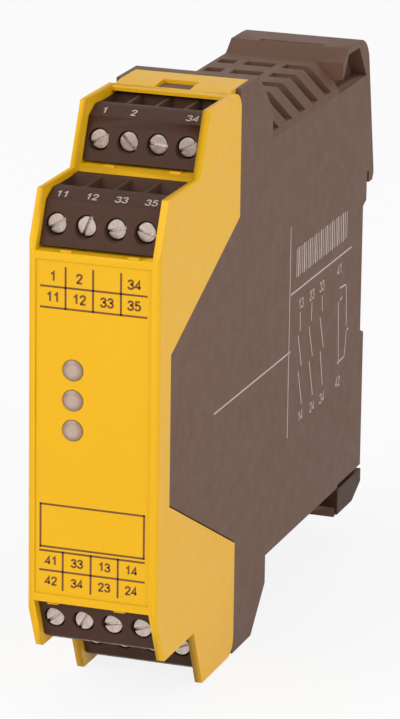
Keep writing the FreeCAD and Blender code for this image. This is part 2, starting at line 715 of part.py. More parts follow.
across_x(foot, "Pad", "-" + OUTER, OUTER, [(depth(a), b) for a, b in block])
tongue = "foot_half_width + foot_tongue"
along_z(foot, "Pad", "-(foot_bottom - foot_block)", "-(foot_top + tongue_inset)",
        corners_of("-(%s)" % tongue, tongue, depth("tongue_front"), depth("tongue_rear")))
along_y(foot, "Pocket", depth("foot_plate_front - 1"), depth("foot_plate_rear + 1"),
        corners_of("-spring_half_width", "-(spring_half_width - spring_slot)",
                   "-spring_low", "-spring_high"),
        corners_of("spring_half_width - spring_slot", "spring_half_width",
                   "-spring_low", "-spring_high"),
        corners_of("-spring_half_width / 2", "spring_half_width / 2",
                   "-spring_low", "-(spring_low - spring_slot)"))

# ---------------------------------------------------------------- board and what it carries
BOARD = ("board_face - board_thickness", "board_face")
board = new_body("circuit_board")
half = [("board_front", "board_front_half"), ("board_neck", "board_front_half"),
        ("board_neck", "board_step_half"), ("board_tongue", "board_step_half"),
        ("board_tongue", "board_tongue_half"),
        ("board_tongue + board_tongue_width", "board_tongue_half"),
        ("board_tongue + board_tongue_width", "board_half_height"),
        ("hood_front - hood_lean - board_hood_gap", "board_half_height"),
        ("hood_front - hood_lean - board_hood_gap", "board_rear_half"), ("board_back", "board_rear_half")]
across_x(board, "Pad", BOARD[0], BOARD[1],
         [(depth(a), b) for a, b in half + flip(half)[::-1]])

for name, side in (("relay_upper", ""), ("relay_lower", "-")):
    relay = new_body(name)
    ends = sorted([side + "relay_offset", side + "(relay_offset + relay_width)"], key=value)
    along_y(relay, "Pad", depth("relay_depth"), depth("relay_depth + relay_length"),
            corners_of("board_face", "board_face + relay_height", ends[0], ends[1]))
    round_edges(relay, "relay_edge", lambda middle, way, length:
                near(abs(way.y), 1) and near(middle.x, value("board_face + relay_height")))

core_left = "board_face + winding_bulge"
core = new_body("transformer_core")
core_top = "transformer_base + transformer_width"
along_y(core, "Pad", depth("transformer_depth"), depth("transformer_depth + transformer_length"),
        corners_of(core_left, core_left + " + core_thickness", "transformer_base", core_top))
window_span = (depth("transformer_depth + core_yoke"),
               depth("transformer_depth + transformer_length - core_yoke"))
windows = [[(y, z) for y, z in corners_of(window_span[0], window_span[1], low, high)]
           for low, high in (("transformer_base + core_leg",
                              "transformer_base + core_leg + core_window"),
                             (core_top + " - core_leg - core_window", core_top + " - core_leg"))]
across_x(core, "Pocket", core_left, core_left + " + core_thickness", *windows)
winding = new_body("transformer_winding")
coil_span = (window_span[0] + " + winding_gap", window_span[1] + " - winding_gap")
along_y(winding, "Pad", coil_span[0], coil_span[1],
        corners_of("board_face", core_left + " + core_thickness + winding_bulge",
                   "transformer_base + core_leg", core_top + " - core_leg"))
along_y(winding, "Pocket", coil_span[0], coil_span[1],
        corners_of(core_left, core_left + " + core_thickness",
                   "transformer_base + core_leg + core_window",
                   core_top + " - core_leg - core_window"))

capacitor = new_body("smoothing_capacitor")
can = new_sketch(capacitor, "XZ_Plane", "-" + depth("capacitor_depth"))
draw_circle(can, "board_face + capacitor_radius", "-capacitor_height", "capacitor_radius")
feature(capacitor, "Pad", can, "capacitor_length", False)

group("logic_chips", [
    box("chip_%d" % (number + 1), ("board_face", "board_face + chip_height"),
        (depth("chip_depth"), depth("chip_depth + chip_length")),
        ("%d * chip_spacing - chip_width / 2" % (number - 1),
         "%d * chip_spacing + chip_width / 2" % (number - 1)))
    for number in range(3)])
group("indicator_leds", [
    box("led_%d" % (step + 2), ("board_face", "board_face + led_size"),
        (depth("board_front + board_gap"), depth("board_front + board_gap + led_size")),
        ("lens_middle + %d * lens_pitch - led_size / 2" % step,
         "lens_middle + %d * lens_pitch + led_size / 2" % step))
    for step in (-1, 0, 1)])

for name, step in (("lens_bottom", -1), ("lens_middle", 0), ("lens_top", 1)):
    lens = new_body(name)
    stand(lens, "lens_side", depth("0"), "lens_middle + %d * lens_pitch" % step)
    for start, end, radius in (("label_recess - lens_proud", "face_wall", "lens_radius"),
                               ("face_wall", "face_wall + lens_flange_wall", "lens_flange")):
        disc = new_sketch(lens, "XZ_Plane", "-(%s)" % start)
        draw_circle(disc, "0", "0", radius)
        feature(lens, "Pad", disc, "(%s) - (%s)" % (end, start), False)
    along_y(lens, "Pad", "face_wall + lens_flange_wall", "board_front",
            corners_of("-lens_pipe", "lens_pipe", "-lens_pipe", "lens_pipe"))

# ---------------------------------------------------------------- plug-in terminals
TIERS = {
    "upper_front": ("0", "face_half_height", False),
    "upper_rear": ("riser_depth", STEP_TOP, False),
    "lower_front": ("0", "-face_half_height", True),
    "lower_rear": ("riser_depth", "-" + STEP_TOP, True),
}
SCREW_TURN = {"upper_front": (25, -38, 12, 70), "upper_rear": (-12, 52, 8, -28),
              "lower_front": (-20, 48, 5, -24), "lower_rear": (32, -8, 64, 15)}
PLUG_HALF = "(half_width - skirt_wall - plug_side_gap)"
COLUMNS = ["(%g * pitch)" % (number - (TERMINALS - 1) / 2) for number in range(TERMINALS)]
FIRST = COLUMNS[0]
BAR_FRONT = "(screw_tip + bar_gap)"
BAR_REAR = "bar_rear"
CAGE_FRONT = "(screw_face + head_length + head_gap + shoulder_wall)"
CAGE_REAR = "(%s + jaw_gap + cage_jaw)" % BAR_REAR
PIN_LOW = "(screw_height - cage_half_height - cage_gap - pin_gap)"
STRIP_TOP = "(plug_lift + plug_floor + strip_thickness)"
PIN_MIDDLE = "(%s + pin_gap + pin_half_width)" % STRIP_TOP


def repeat(body, features):
    """Repeats one terminal's cuts across the block."""
    pattern = body.newObject("PartDesign::LinearPattern", body.Label + "_pattern")
    pattern.Originals = features
    across = next(f for f in body.Origin.OriginFeatures if f.Role == "X_Axis")
    pattern.Direction = (across, [""])
    pattern.setExpression("Length", bound("%d * pitch" % (TERMINALS - 1)))
    pattern.Occurrences = TERMINALS
    body.Tip = pattern
    return pattern


def around(column, half_text):
    return "%s - %s" % (column, half_text), "%s + %s" % (column, half_text)


def plug_block(label):
    """The moulded block with its four terminal chambers."""
    moulding = new_body(label)
    face_top = "(plug_lift + plug_face_height)"
    roof = "(plug_lift + plug_face_height + plug_label_rise)"
    across_x(moulding, "Pad", "-" + PLUG_HALF, PLUG_HALF,
             [("plug_front", "plug_lift"), ("plug_front + plug_lean", face_top),
              ("plug_front + plug_lean + plug_label_run", roof), ("plug_rear", roof),
              ("plug_rear", "plug_lift")])
    cuts = []
    for start, end, radius, drawing in (
            ("0", "screw_face + head_length + head_gap", "head_radius + head_gap", draw_circle),
            ("screw_face", CAGE_FRONT, "shank_radius + shank_gap", draw_bore)):
        hole = new_sketch(moulding, "XZ_Plane", "-(%s)" % start)
        drawing(hole, FIRST, "screw_height", radius)
        cuts.append(feature(moulding, "Pocket", hole, "(%s) - (%s)" % (end, start), False))
    low, high = around("screw_height", "(cage_half_height + cage_gap)")
    left, right = around(FIRST, "(cage_half_width + cage_gap)")
    cuts.append(along_y(moulding, "Pocket", CAGE_FRONT,
                        CAGE_REAR + " + clamp_travel + cage_gap",
                        corners_of(left, right, low, high)))
    left, right = around(FIRST, "bar_half_width")
    cuts.append(along_y(moulding, "Pocket", BAR_FRONT, BAR_REAR,
                        corners_of(left, right, "plug_lift + plug_floor", "bar_top")))
    cuts.append(along_y(moulding, "Pocket", BAR_FRONT, "plug_rear",
                        corners_of(left, right, "plug_lift + plug_floor", STRIP_TOP)))
    left, right = around(FIRST, "(pin_half_width + pin_gap)")
    low, high = around(PIN_MIDDLE, "(pin_half_width + pin_gap)")
    cuts.append(along_y(moulding, "Pocket", "plug_rear - pin_reach - pin_gap", "plug_rear",
                        corners_of(left, right, low, high)))
    left, right = around(FIRST, "wire_half_width")
    cuts.append(along_z(moulding, "Pocket", "screw_height", roof,
                        corners_of(left, right, BAR_REAR, BAR_REAR + " + wire_run")))
    repeat(moulding, cuts)
    for column in COLUMNS:
        funnel(moulding, column, roof)
    return moulding


def funnel(moulding, column, roof):
    """The flared mouth above a wire channel, wide at the roof."""
    flare = moulding.newObject("PartDesign::SubtractiveWedge", moulding.Label + "_funnel")
    flare.AttachmentSupport = [(next(f for f in moulding.Origin.OriginFeatures
                                     if f.Role == "XY_Plane"), "")]
    flare.MapMode = "FlatFace"
    flare.AttachmentOffset = FreeCAD.Placement(Vector(0, 0, 0),
                                               FreeCAD.Rotation(Vector(1, 0, 0), 90))
    left, right = around(column, "wire_half_width")
    wide_left, wide_right = around(column, "funnel_half_width")
    ends = {"Ymin": roof + " - funnel_depth", "Ymax": roof, "Xmin": left, "Xmax": right,
            "X2min": wide_left, "X2max": wide_right,
            "Zmin": "-(bar_rear + wire_run)", "Zmax": "-bar_rear",
            "Z2min": "-funnel_rear", "Z2max": "-funnel_front"}
    for name, text in ends.items():
        flare.setExpression(name, bound(text))


def contact_bars(label):
    """Four contact bars with the strips that lead back to the header's pins."""
    bars = []
    for number, column in enumerate(COLUMNS, 1):
        across = around(column, "bar_half_width")
        bars.append(fused("%s_%d" % (label, number), [
            box("%s_bar_%d" % (label, number), across, (BAR_FRONT, BAR_REAR),
                ("plug_lift + plug_floor", "bar_top")),
            box("%s_strip_%d" % (label, number), across, (BAR_FRONT, "plug_rear"),
                ("plug_lift + plug_floor", STRIP_TOP))]))
    return group(label, bars)


def screw(label):
    """A slotted terminal screw, standing on its own axis."""
    made = new_body(label)
    shank = "shank_radius * %.6f" % math.cos(math.pi / 12)
    for start, end, radius, drawing in (
            ("0", "head_length", "head_radius", draw_circle),
            ("head_length", "head_length + shank_length", shank, draw_bore)):
        disc = new_sketch(made, "XZ_Plane", "-(%s)" % start)
        drawing(disc, "0", "0", radius)
        feature(made, "Pad", disc, "(%s) - (%s)" % (end, start), False)
    left, right = around("0", "slot_width / 2")
    low, high = around("0", "(head_radius + 0.1)")
    along_y(made, "Pocket", "-0.1", "slot_depth", corners_of(left, right, low, high))
    return made


def cage(label):
    """A clamping cage: a frame that the screw pulls against the contact bar."""
    made = new_body(label)
    across_x(made, "Pad", "-cage_half_width", "cage_half_width",
             corners_of("0", "%s - %s" % (CAGE_REAR, CAGE_FRONT),
                        "-cage_half_height", "cage_half_height"))
    inner = "(cage_half_width - cage_side_wall)"
    along_z(made, "Pocket", "-cage_half_height", "cage_half_height",
            corners_of("-" + inner, inner, "cage_front_wall",
                       "%s - %s - cage_jaw" % (CAGE_REAR, CAGE_FRONT)))
    hole = new_sketch(made, "XZ_Plane", "0")
    draw_bore(hole, "0", "0", "shank_radius + shank_gap")
    feature(made, "Pocket", hole, "cage_front_wall", False)
    return made


def header(label):
    """The socket that stands behind a plug and holds four pins."""
    made = new_body(label)
    front = "riser_depth"
    along_y(made, "Pad", front, "header_rear",
            corners_of("-header_half_width", "header_half_width", "header_low", "header_high"))
    along_y(made, "Pocket", front, "header_rear - header_base",
            corners_of("-(header_half_width - header_wall)", "header_half_width - header_wall",
                       "header_low + header_wall", "header_high - header_wall"))
    low, high = around(PIN_MIDDLE, "pin_half_width")
    along_y(made, "Pocket", "header_rear - header_base", "header_rear",
            *[corners_of(*around(column, "pin_half_width"), low, high) for column in COLUMNS])
    return made


pins = []
for tier, (back, base, upside_down) in TIERS.items():
    plug = plug_block("plug_" + tier)
    bars = contact_bars("contacts_" + tier)
    socket = header("header_" + tier)
    for node in (plug, bars, socket):
        stand(node, "0", depth(back), base, upside_down=upside_down)
    sign = "-" if upside_down else ""
    height = "%s %s screw_height" % (base, "-" if upside_down else "+")
    for number, column in enumerate(COLUMNS, 1):
        turned = screw("screw_%s_%d" % (tier, number))
        stand(turned, column, depth(back + " + screw_face"), height,
              turn=SCREW_TURN[tier][number - 1])
        clamp = cage("clamp_%s_%d" % (tier, number))
        stand(clamp, column, depth("%s + %s" % (back, CAGE_FRONT)), height)
        # pin from inside the plug through the header, then across to the board
        low, high = around(PIN_MIDDLE, "pin_half_width")
        tail = "header_rear + tail_gap + %d * tail_spacing" % (0 if number in (1, 4) else 1)
        left_side = value(column) * (-1 if upside_down else 1) < value("board_face")
        face = "board_face - board_thickness" if left_side else "board_face"
        if upside_down:
            face = "-(%s)" % face
        run = around(column, "pin_half_width")
        reach = (run[0], face) if value(column) < value(face) else (face, run[1])
        pin = fused("pin_%s_%d" % (tier, number), [
            box("pin_%s_%d_run" % (tier, number), run,
                ("plug_rear - pin_reach", "%s + 1" % tail), (low, high)),
            box("pin_%s_%d_tail" % (tier, number), reach, (tail, "%s + 1" % tail), (low, high))])
        stand(pin, "0", depth(back), base, upside_down=upside_down)
        pins.append(pin)
group("header_pins", pins)

# ---------------------------------------------------------------- build, check and write
doc.recompute()
for item in doc.Objects:
    if any(word in item.State for word in ("Invalid", "Error")):
        raise RuntimeError("%s does not build: %s" % (item.Label, item.State))
for node in exported:
    if node.Shape.isNull() or not node.Shape.isValid() or not node.Shape.Solids:
        raise RuntimeError("%s is not a sound solid" % node.Label)
    node.Shape.exportStep("parts/%s.step" % node.Label)
print("%d pieces written" % len(exported))
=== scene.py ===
"""Looks of a narrow safety relay module for a 35 mm rail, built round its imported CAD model.

Lengths are in metres, apart from sizes that are multiplied by MM where they are used. X runs
across the module, -Y faces the person in front of the cabinet, and Z is up. The origin is the
middle of the rail, on the plane of its face.
"""

import logging
import math
from dataclasses import dataclass, field
from enum import Enum
from itertools import combinations
from typing import Iterable, Protocol, Sequence

import bmesh
import bpy
from mathutils import Matrix, Vector


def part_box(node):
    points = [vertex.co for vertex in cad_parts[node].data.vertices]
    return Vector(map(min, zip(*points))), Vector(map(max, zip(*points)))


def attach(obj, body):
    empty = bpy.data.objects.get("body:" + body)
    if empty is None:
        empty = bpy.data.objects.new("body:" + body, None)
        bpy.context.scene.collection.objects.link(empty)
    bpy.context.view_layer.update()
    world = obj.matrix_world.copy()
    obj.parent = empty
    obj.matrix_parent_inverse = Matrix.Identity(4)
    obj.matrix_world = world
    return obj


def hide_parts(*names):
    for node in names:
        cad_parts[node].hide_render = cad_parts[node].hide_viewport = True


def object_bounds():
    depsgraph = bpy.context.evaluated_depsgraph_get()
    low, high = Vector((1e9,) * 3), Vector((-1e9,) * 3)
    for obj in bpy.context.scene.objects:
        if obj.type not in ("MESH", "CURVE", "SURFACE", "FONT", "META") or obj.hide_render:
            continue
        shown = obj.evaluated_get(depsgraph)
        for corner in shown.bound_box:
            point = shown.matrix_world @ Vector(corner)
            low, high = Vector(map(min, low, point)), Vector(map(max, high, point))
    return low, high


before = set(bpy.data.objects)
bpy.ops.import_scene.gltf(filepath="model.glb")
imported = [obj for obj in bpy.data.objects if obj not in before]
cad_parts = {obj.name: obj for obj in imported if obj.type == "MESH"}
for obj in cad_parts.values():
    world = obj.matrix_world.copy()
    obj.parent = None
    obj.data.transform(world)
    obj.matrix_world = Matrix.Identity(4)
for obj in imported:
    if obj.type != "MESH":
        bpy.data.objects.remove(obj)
CAD_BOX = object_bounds()
LOG = logging.getLogger("safety_relay")
MM = 0.001
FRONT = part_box("front_cover")[0].y
REAR_SETBACK = 0.019
REAR_RISE = 0.0096

Colour = tuple[float, float, float]
Point = tuple[float, float]


class Slot(Enum):
    """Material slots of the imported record."""

    HOUSING = "housing_plastic"
    COVER = "cover_plastic"
    TERMINAL = "terminal_plastic"
    HEADER = "header_plastic"
    FOOT = "foot_plastic"
    BOARD = "board_laminate"
    RELAY = "relay_case"
    CORE = "core_steel"
    WINDING = "winding_copper"
    CAPACITOR = "capacitor_can"
    CHIP = "chip_epoxy"
    LED = "led_body"
    LENS = "lens_clear"
    CONTACT = "contact_metal"
    SCREW = "screw_steel"
    CLAMP = "clamp_steel"


class Tier(Enum):
    """The four rows of plug-in terminals."""

    UPPER_FRONT = "upper_front"
    UPPER_REAR = "upper_rear"
    LOWER_FRONT = "lower_front"
    LOWER_REAR = "lower_rear"

    @property
    def side(self) -> int:
        """1 for the rows above the front face, -1 for those below it."""
        return 1 if self.value.startswith("upper") else -1

    @property
    def setback(self) -> float:
        """How far the row stands behind the front row."""
        return REAR_SETBACK if self.value.endswith("rear") else 0.0

    @property
    def rise(self) -> float:
        """How much further the row stands from the middle than the front row."""
        return REAR_RISE if self.value.endswith("rear") else 0.0


# ------------------------------------------------------------------ node graphs
class Graph:
    """The node tree of one material, with short calls for the nodes that it uses."""

    def __init__(self, name: str) -> None:
        """Starts an empty material.

        Args:
            name: Name of the material.
        """
        self.material = bpy.data.materials.new(name)
        self.material.use_nodes = True
        self.tree = self.material.node_tree
        self.tree.nodes.clear()
        self.shader = self.add("ShaderNodeBsdfPrincipled")
        self.output = self.add("ShaderNodeOutputMaterial")
        self.link(self.shader.outputs["BSDF"], self.output.inputs["Surface"])
        self.place = self.add("ShaderNodeTexCoord").outputs["Object"]

    def add(self, kind: str, **settings: object) -> bpy.types.Node:
        """Adds a node.

        Args:
            kind: Blender's name of the node type.
            **settings: Properties of the node, set by name.

        Returns:
            The new node.
        """
        node = self.tree.nodes.new(kind)
        for name, setting in settings.items():
            setattr(node, name, setting)
        return node

    def link(self, source: bpy.types.NodeSocket, target: bpy.types.NodeSocket) -> None:
        """Joins an output socket to an input socket."""
        self.tree.links.new(source, target)

    def set(self, **sockets: float | Sequence[float]) -> None:
        """Sets plain numbers on the shader's own sockets.

        Args:
            **sockets: Socket names with underscores for spaces, and their values.
        """
        for name, number in sockets.items():
            self.shader.inputs[name.replace("_", " ")].default_value = number

    def noise(self, scale: float, detail: float = 2.0, roughness: float = 0.5,
              stretch: Sequence[float] = (1.0, 1.0, 1.0)) -> bpy.types.NodeSocket:
        """Noise in the piece's own space.

        Args:
            scale: Features per metre.
            detail: Octaves of finer noise.
            roughness: Share of the finer octaves.
            stretch: Scale of the space along each axis before the noise.

        Returns:
            The noise's value, from 0 to 1.
        """
        space = self.add("ShaderNodeMapping")
        space.inputs["Scale"].default_value = stretch
        self.link(self.place, space.inputs["Vector"])
        texture = self.add("ShaderNodeTexNoise")
        texture.inputs["Scale"].default_value = scale
        texture.inputs["Detail"].default_value = detail
        texture.inputs["Roughness"].default_value = roughness
        self.link(space.outputs["Vector"], texture.inputs["Vector"])
        return texture.outputs["Fac"]

    def wave(self, scale: float, direction: str, rings: bool = False,
             distortion: float = 0.0) -> bpy.types.NodeSocket:
        """Even bands or rings in the piece's own space.

        Args:
            scale: Bands per 1/20 metre, as Blender counts them.
            direction: Axis that the bands follow or that the rings go round.
            rings: Whether they are rings.
            distortion: How uneven they are.

        Returns:
            The wave's value, from 0 to 1.
        """
        texture = self.add("ShaderNodeTexWave", wave_type="RINGS" if rings else "BANDS")
        if rings:
            texture.rings_direction = direction
        else:
            texture.bands_direction = direction
        texture.inputs["Scale"].default_value = scale
        texture.inputs["Distortion"].default_value = distortion
        self.link(self.place, texture.inputs["Vector"])
        return texture.outputs["Fac"]

    def remap(self, source: bpy.types.NodeSocket, low: float, high: float,
              start: float = 0.3, end: float = 0.7) -> bpy.types.NodeSocket:
        """Spreads a value over a new range.

        Args:
            source: The value.
            low: Result at start.
            high: Result at end.
            start: Value that gives low.
            end: Value that gives high.

        Returns:
            The new value.
        """
        node = self.add("ShaderNodeMapRange")
        for name, number in (("From Min", start), ("From Max", end), ("To Min", low), ("To Max", high)):
            node.inputs[name].default_value = number
        self.link(source, node.inputs["Value"])
        return node.outputs["Result"]

    def blend(self, factor: bpy.types.NodeSocket, first: Colour | bpy.types.NodeSocket,
              second: Colour) -> bpy.types.NodeSocket:
        """Mixes two colours.

        Args:
            factor: 0 gives the first colour, 1 the second.
            first: A colour, or a socket that gives one.
            second: A colour.

        Returns:
            The mixed colour.
        """
        node = self.add("ShaderNodeMix", data_type="RGBA")
        self.link(factor, node.inputs[0])
        if isinstance(first, tuple):
            node.inputs[6].default_value = (*first, 1.0)
        else:
            self.link(first, node.inputs[6])
        node.inputs[7].default_value = (*second, 1.0)
        return node.outputs[2]

    def colour(self, source: bpy.types.NodeSocket) -> None:
        """Gives the shader its colour."""
        self.link(source, self.shader.inputs["Base Color"])

    def rough(self, source: bpy.types.NodeSocket) -> None:
        """Gives the shader its roughness."""
        self.link(source, self.shader.inputs["Roughness"])

    def bump(self, layers: Iterable[tuple[bpy.types.NodeSocket, float, float]]) -> None:
        """Stacks bumps on the shader's normal.

        Args:
            layers: Height, strength and depth in metres of each bump.
        """
        below = None
        for height, strength, deep in layers:
            node = self.add("ShaderNodeBump")
            node.inputs["Strength"].default_value = strength
            node.inputs["Distance"].default_value = deep
            self.link(height, node.inputs["Height"])
            if below is not None:
                self.link(below, node.inputs["Normal"])
            below = node.outputs["Normal"]
        self.link(below, self.shader.inputs["Normal"])


def shade(colour: Colour, factor: float) -> Colour:
    """A colour made lighter or darker by a factor."""
    return (colour[0] * factor, colour[1] * factor, colour[2] * factor)


# ------------------------------------------------------------------ finishes
class Finish(Protocol):
    """What every finish offers."""

    name: str
    slot: Slot

    def material(self) -> bpy.types.Material:
        """Builds the finish's material."""


@dataclass(frozen=True)
class MouldedPlastic:
    """Injection-moulded plastic with a fine spark-eroded grain and faint flow clouds."""

    name: str
    slot: Slot
    colour: Colour
    roughness: float = 0.45
    grain: float = 0.25
    clouds: float = 0.06
    gloss: float = 0.5
    glow: float = 0.0

    def material(self) -> bpy.types.Material:
        """Builds the plastic.

        Returns:
            The finished material.
        """
        graph = Graph(self.name)
        flow = graph.noise(45.0, 3.0, stretch=(1.0, 0.6, 1.0))
        speck = graph.noise(3200.0, 2.0)
        body = graph.blend(graph.remap(flow, 0.0, 1.0, 0.2, 0.8), shade(self.colour, 1.0 - self.clouds),
                           shade(self.colour, 1.0 + self.clouds))
        specks = graph.remap(speck, 0.0, 0.22, 0.5, 0.8)
        graph.colour(graph.blend(specks, body, shade(self.colour, 1.35)))
        graph.rough(graph.remap(graph.noise(420.0, 3.0), self.roughness - 0.05, self.roughness + 0.05))
        graph.set(Specular_IOR_Level=self.gloss, Coat_Weight=self.glow, Coat_Roughness=0.2)
        graph.bump([(graph.noise(2600.0, 3.0, 0.6), self.grain, 0.00004),
                    (graph.noise(90.0, 1.0), 0.05, 0.0002)])
        return graph.material


@dataclass(frozen=True)
class PlatedSteel:
    """Plated steel, brushed along one axis."""

    name: str
    slot: Slot
    colour: Colour
    roughness: float = 0.3
    stretch: tuple[float, float, float] = (1.0, 0.08, 1.0)

    def material(self) -> bpy.types.Material:
        """Builds the metal.

        Returns:
            The finished material.
        """
        graph = Graph(self.name)
        brushed = graph.noise(2400.0, 3.0, 0.6, self.stretch)
        graph.colour(graph.blend(graph.remap(graph.noise(260.0, 2.0), 0.0, 1.0),
                                 shade(self.colour, 0.86), self.colour))
        graph.rough(graph.remap(brushed, self.roughness - 0.08, self.roughness + 0.1))
        graph.set(Metallic=1.0)
        graph.bump([(brushed, 0.2, 0.00003)])
        return graph.material


@dataclass(frozen=True)
class TurnedSteel:
    """Zinc-plated steel with the fine rings that a lathe leaves round the Y axis."""

    name: str
    slot: Slot
    colour: Colour
    roughness: float = 0.27

    def material(self) -> bpy.types.Material:
        """Builds the metal.

        Returns:
            The finished material.
        """
        graph = Graph(self.name)
        rings = graph.wave(420.0, "Y", rings=True, distortion=0.6)
        stain = graph.noise(900.0, 3.0, 0.6)
        stained = graph.remap(stain, 0.0, 1.0, 0.35, 0.7)
        graph.colour(graph.blend(stained, self.colour, shade(self.colour, 0.72)))
        graph.rough(graph.remap(rings, self.roughness - 0.05, self.roughness + 0.09, 0.0, 1.0))
        graph.set(Metallic=1.0, Anisotropic=0.35)
        graph.bump([(rings, 0.12, 0.00002), (stain, 0.15, 0.00004)])
        return graph.material


@dataclass(frozen=True)
class LightPipe:
    """Diffusing clear plastic of a status lens, with painted shade that darkens it towards its outer edge."""

    name: str
    slot: Slot
    colour: Colour
    # Colour of the painted shade at the lens's outer edge.
    painted_rim_shade: Colour
    radius: float = 0.00175

    def material(self) -> bpy.types.Material:
        """Builds the lens plastic.

        Returns:
            The finished material.
        """
        graph = Graph(self.name)
        flat = graph.add("ShaderNodeVectorMath", operation="MULTIPLY")
        flat.inputs[1].default_value = (1.0, 0.0, 1.0)
        graph.link(graph.place, flat.inputs[0])
        reach = graph.add("ShaderNodeVectorMath", operation="LENGTH")
        graph.link(flat.outputs["Vector"], reach.inputs[0])
        # Painted shade: 0 near the middle of the lens, 1 at its outer edge; the colour darkens along it to
        # stand in for the shading of the domed face.
        edge = graph.remap(reach.outputs["Value"], 0.0, 1.0, self.radius * 0.45, self.radius)
        haze = graph.noise(700.0, 3.0)
        core = graph.blend(graph.remap(haze, 0.0, 1.0), self.colour, shade(self.colour, 1.12))
        graph.colour(graph.blend(edge, core, self.painted_rim_shade))
        graph.rough(graph.remap(haze, 0.26, 0.38))
        graph.set(Transmission_Weight=0.12, IOR=1.49, Coat_Weight=0.4, Coat_Roughness=0.15,
                  Subsurface_Weight=0.1, Subsurface_Scale=0.001)
        graph.bump([(haze, 0.08, 0.00004)])
        return graph.material


@dataclass(frozen=True)
class Laminate:
    """Glass-fibre board under green solder mask, with faint copper runs below it."""

    name: str
    slot: Slot
    mask: Colour
    copper: Colour

    def material(self) -> bpy.types.Material:
        """Builds the board's surface.

        Returns:
            The finished material.
        """
        graph = Graph(self.name)
        warp = graph.wave(90.0, "Y")
        weft = graph.wave(90.0, "Z")
        runs = graph.add("ShaderNodeTexBrick")
        runs.inputs["Scale"].default_value = 160.0
        runs.inputs["Mortar Size"].default_value = 0.06
        turn = graph.add("ShaderNodeMapping")
        turn.inputs["Rotation"].default_value = (0.0, math.radians(90.0), 0.0)
        graph.link(graph.place, turn.inputs["Vector"])
        graph.link(turn.outputs["Vector"], runs.inputs["Vector"])
        woven = graph.blend(graph.remap(warp, 0.0, 0.12, 0.0, 1.0), self.mask, shade(self.mask, 1.6))
        copper = graph.remap(runs.outputs["Fac"], 0.0, 0.55, 0.0, 1.0)
        graph.colour(graph.blend(copper, woven, self.copper))
        graph.rough(graph.remap(graph.noise(300.0), 0.22, 0.34))
        graph.set(Coat_Weight=0.3, Coat_Roughness=0.15)
        graph.bump([(warp, 0.05, 0.00002), (weft, 0.05, 0.00002), (runs.outputs["Fac"], 0.2, 0.00003)])
        return graph.material


@dataclass(frozen=True)
class StackedSheets:
    """Stacked core sheets, seen as fine lines across one axis."""

    name: str
    slot: Slot
    colour: Colour
    axis: str = "X"

    def material(self) -> bpy.types.Material:
        """Builds the stack's surface.

        Returns:
            The finished material.
        """
        graph = Graph(self.name)
        edges = graph.wave(32.0, self.axis, distortion=0.15)
        bright = graph.remap(edges, 0.0, 1.0, 0.1, 0.9)
        graph.colour(graph.blend(bright, shade(self.colour, 0.4), self.colour))
        graph.rough(graph.remap(graph.noise(500.0), 0.35, 0.55))
        graph.set(Metallic=0.9)
        graph.bump([(edges, 0.6, 0.00012), (graph.noise(1500.0, 3.0), 0.15, 0.00004)])
        return graph.material


@dataclass(frozen=True)
class WoundWire:
    """Enamelled wire wound round the Z axis."""

    name: str
    slot: Slot
    colour: Colour

    def material(self) -> bpy.types.Material:
        """Builds the winding's surface.

        Returns:
            The finished material.
        """
        graph = Graph(self.name)
        turns = graph.wave(85.0, "Z", distortion=0.4)
        bright = graph.remap(turns, 0.0, 1.0, 0.05, 0.95)
        graph.colour(graph.blend(bright, shade(self.colour, 0.3), self.colour))
        graph.rough(graph.remap(graph.noise(600.0), 0.2, 0.35))
        graph.set(Metallic=0.75, Coat_Weight=0.6, Coat_Roughness=0.1)
        graph.bump([(turns, 0.9, 0.0001)])
        return graph.material


@dataclass(frozen=True)
class Ink:
    """Screen-printed ink, slightly uneven in its cover."""

    name: str
    slot: Slot
    colour: Colour
    fade: float = 0.12

    def material(self) -> bpy.types.Material:
        """Builds the ink.

        Returns:
            The finished material.
        """
        graph = Graph(self.name)
        cover = graph.noise(1400.0, 3.0, 0.6)
        graph.colour(graph.blend(graph.remap(cover, 0.0, 1.0), shade(self.colour, 1.0 - self.fade),
                                 shade(self.colour, 1.0 + self.fade)))
        graph.rough(graph.remap(graph.noise(500.0), 0.42, 0.58))
        graph.bump([(cover, 0.12, 0.00001)])
        return graph.material


COVER_YELLOW = MouldedPlastic("cover_yellow", Slot.COVER, (0.80, 0.428, 0.004), 0.42, 0.12, 0.02, 0.26)
HOUSING_BROWN = MouldedPlastic("housing_brown", Slot.HOUSING, (0.133, 0.070, 0.046), 0.55, 0.22, 0.04, 0.18)
TERMINAL_BROWN = MouldedPlastic("terminal_brown", Slot.TERMINAL, (0.063, 0.030, 0.019), 0.56, 0.2, 0.05, 0.13)
HEADER_BLACK = MouldedPlastic("header_black", Slot.HEADER, (0.022, 0.020, 0.019), 0.50, 0.25, 0.08, 0.35)
FOOT_BROWN = MouldedPlastic("foot_brown", Slot.FOOT, (0.060, 0.030, 0.018), 0.54, 0.22, 0.05, 0.13)
RELAY_GREY = MouldedPlastic("relay_grey", Slot.RELAY, (0.62, 0.60, 0.55), 0.30, 0.08, 0.03, 0.50)
SLEEVE_BLUE = MouldedPlastic("sleeve_blue", Slot.CAPACITOR, (0.020, 0.030, 0.070), 0.28, 0.06, 0.05, 0.50)
CHIP_BLACK = MouldedPlastic("chip_black", Slot.CHIP, (0.018, 0.018, 0.020), 0.55, 0.40, 0.06, 0.35)
LED_WHITE = MouldedPlastic("led_white", Slot.LED, (0.72, 0.71, 0.66), 0.28, 0.05, 0.03, 0.50)
SCREW_STEEL = TurnedSteel("screw_steel", Slot.SCREW, (0.66, 0.55, 0.49), 0.36)
CLAMP_STEEL = PlatedSteel("clamp_steel", Slot.CLAMP, (0.62, 0.60, 0.57))
CONTACT_TIN = PlatedSteel("contact_tin", Slot.CONTACT, (0.72, 0.66, 0.54), 0.24)
# Lens colour, then the colour of the painted shade that darkens its outer edge.
LENS_CLEAR = LightPipe("lens_clear", Slot.LENS, (0.50, 0.365, 0.29), (0.26, 0.155, 0.09))
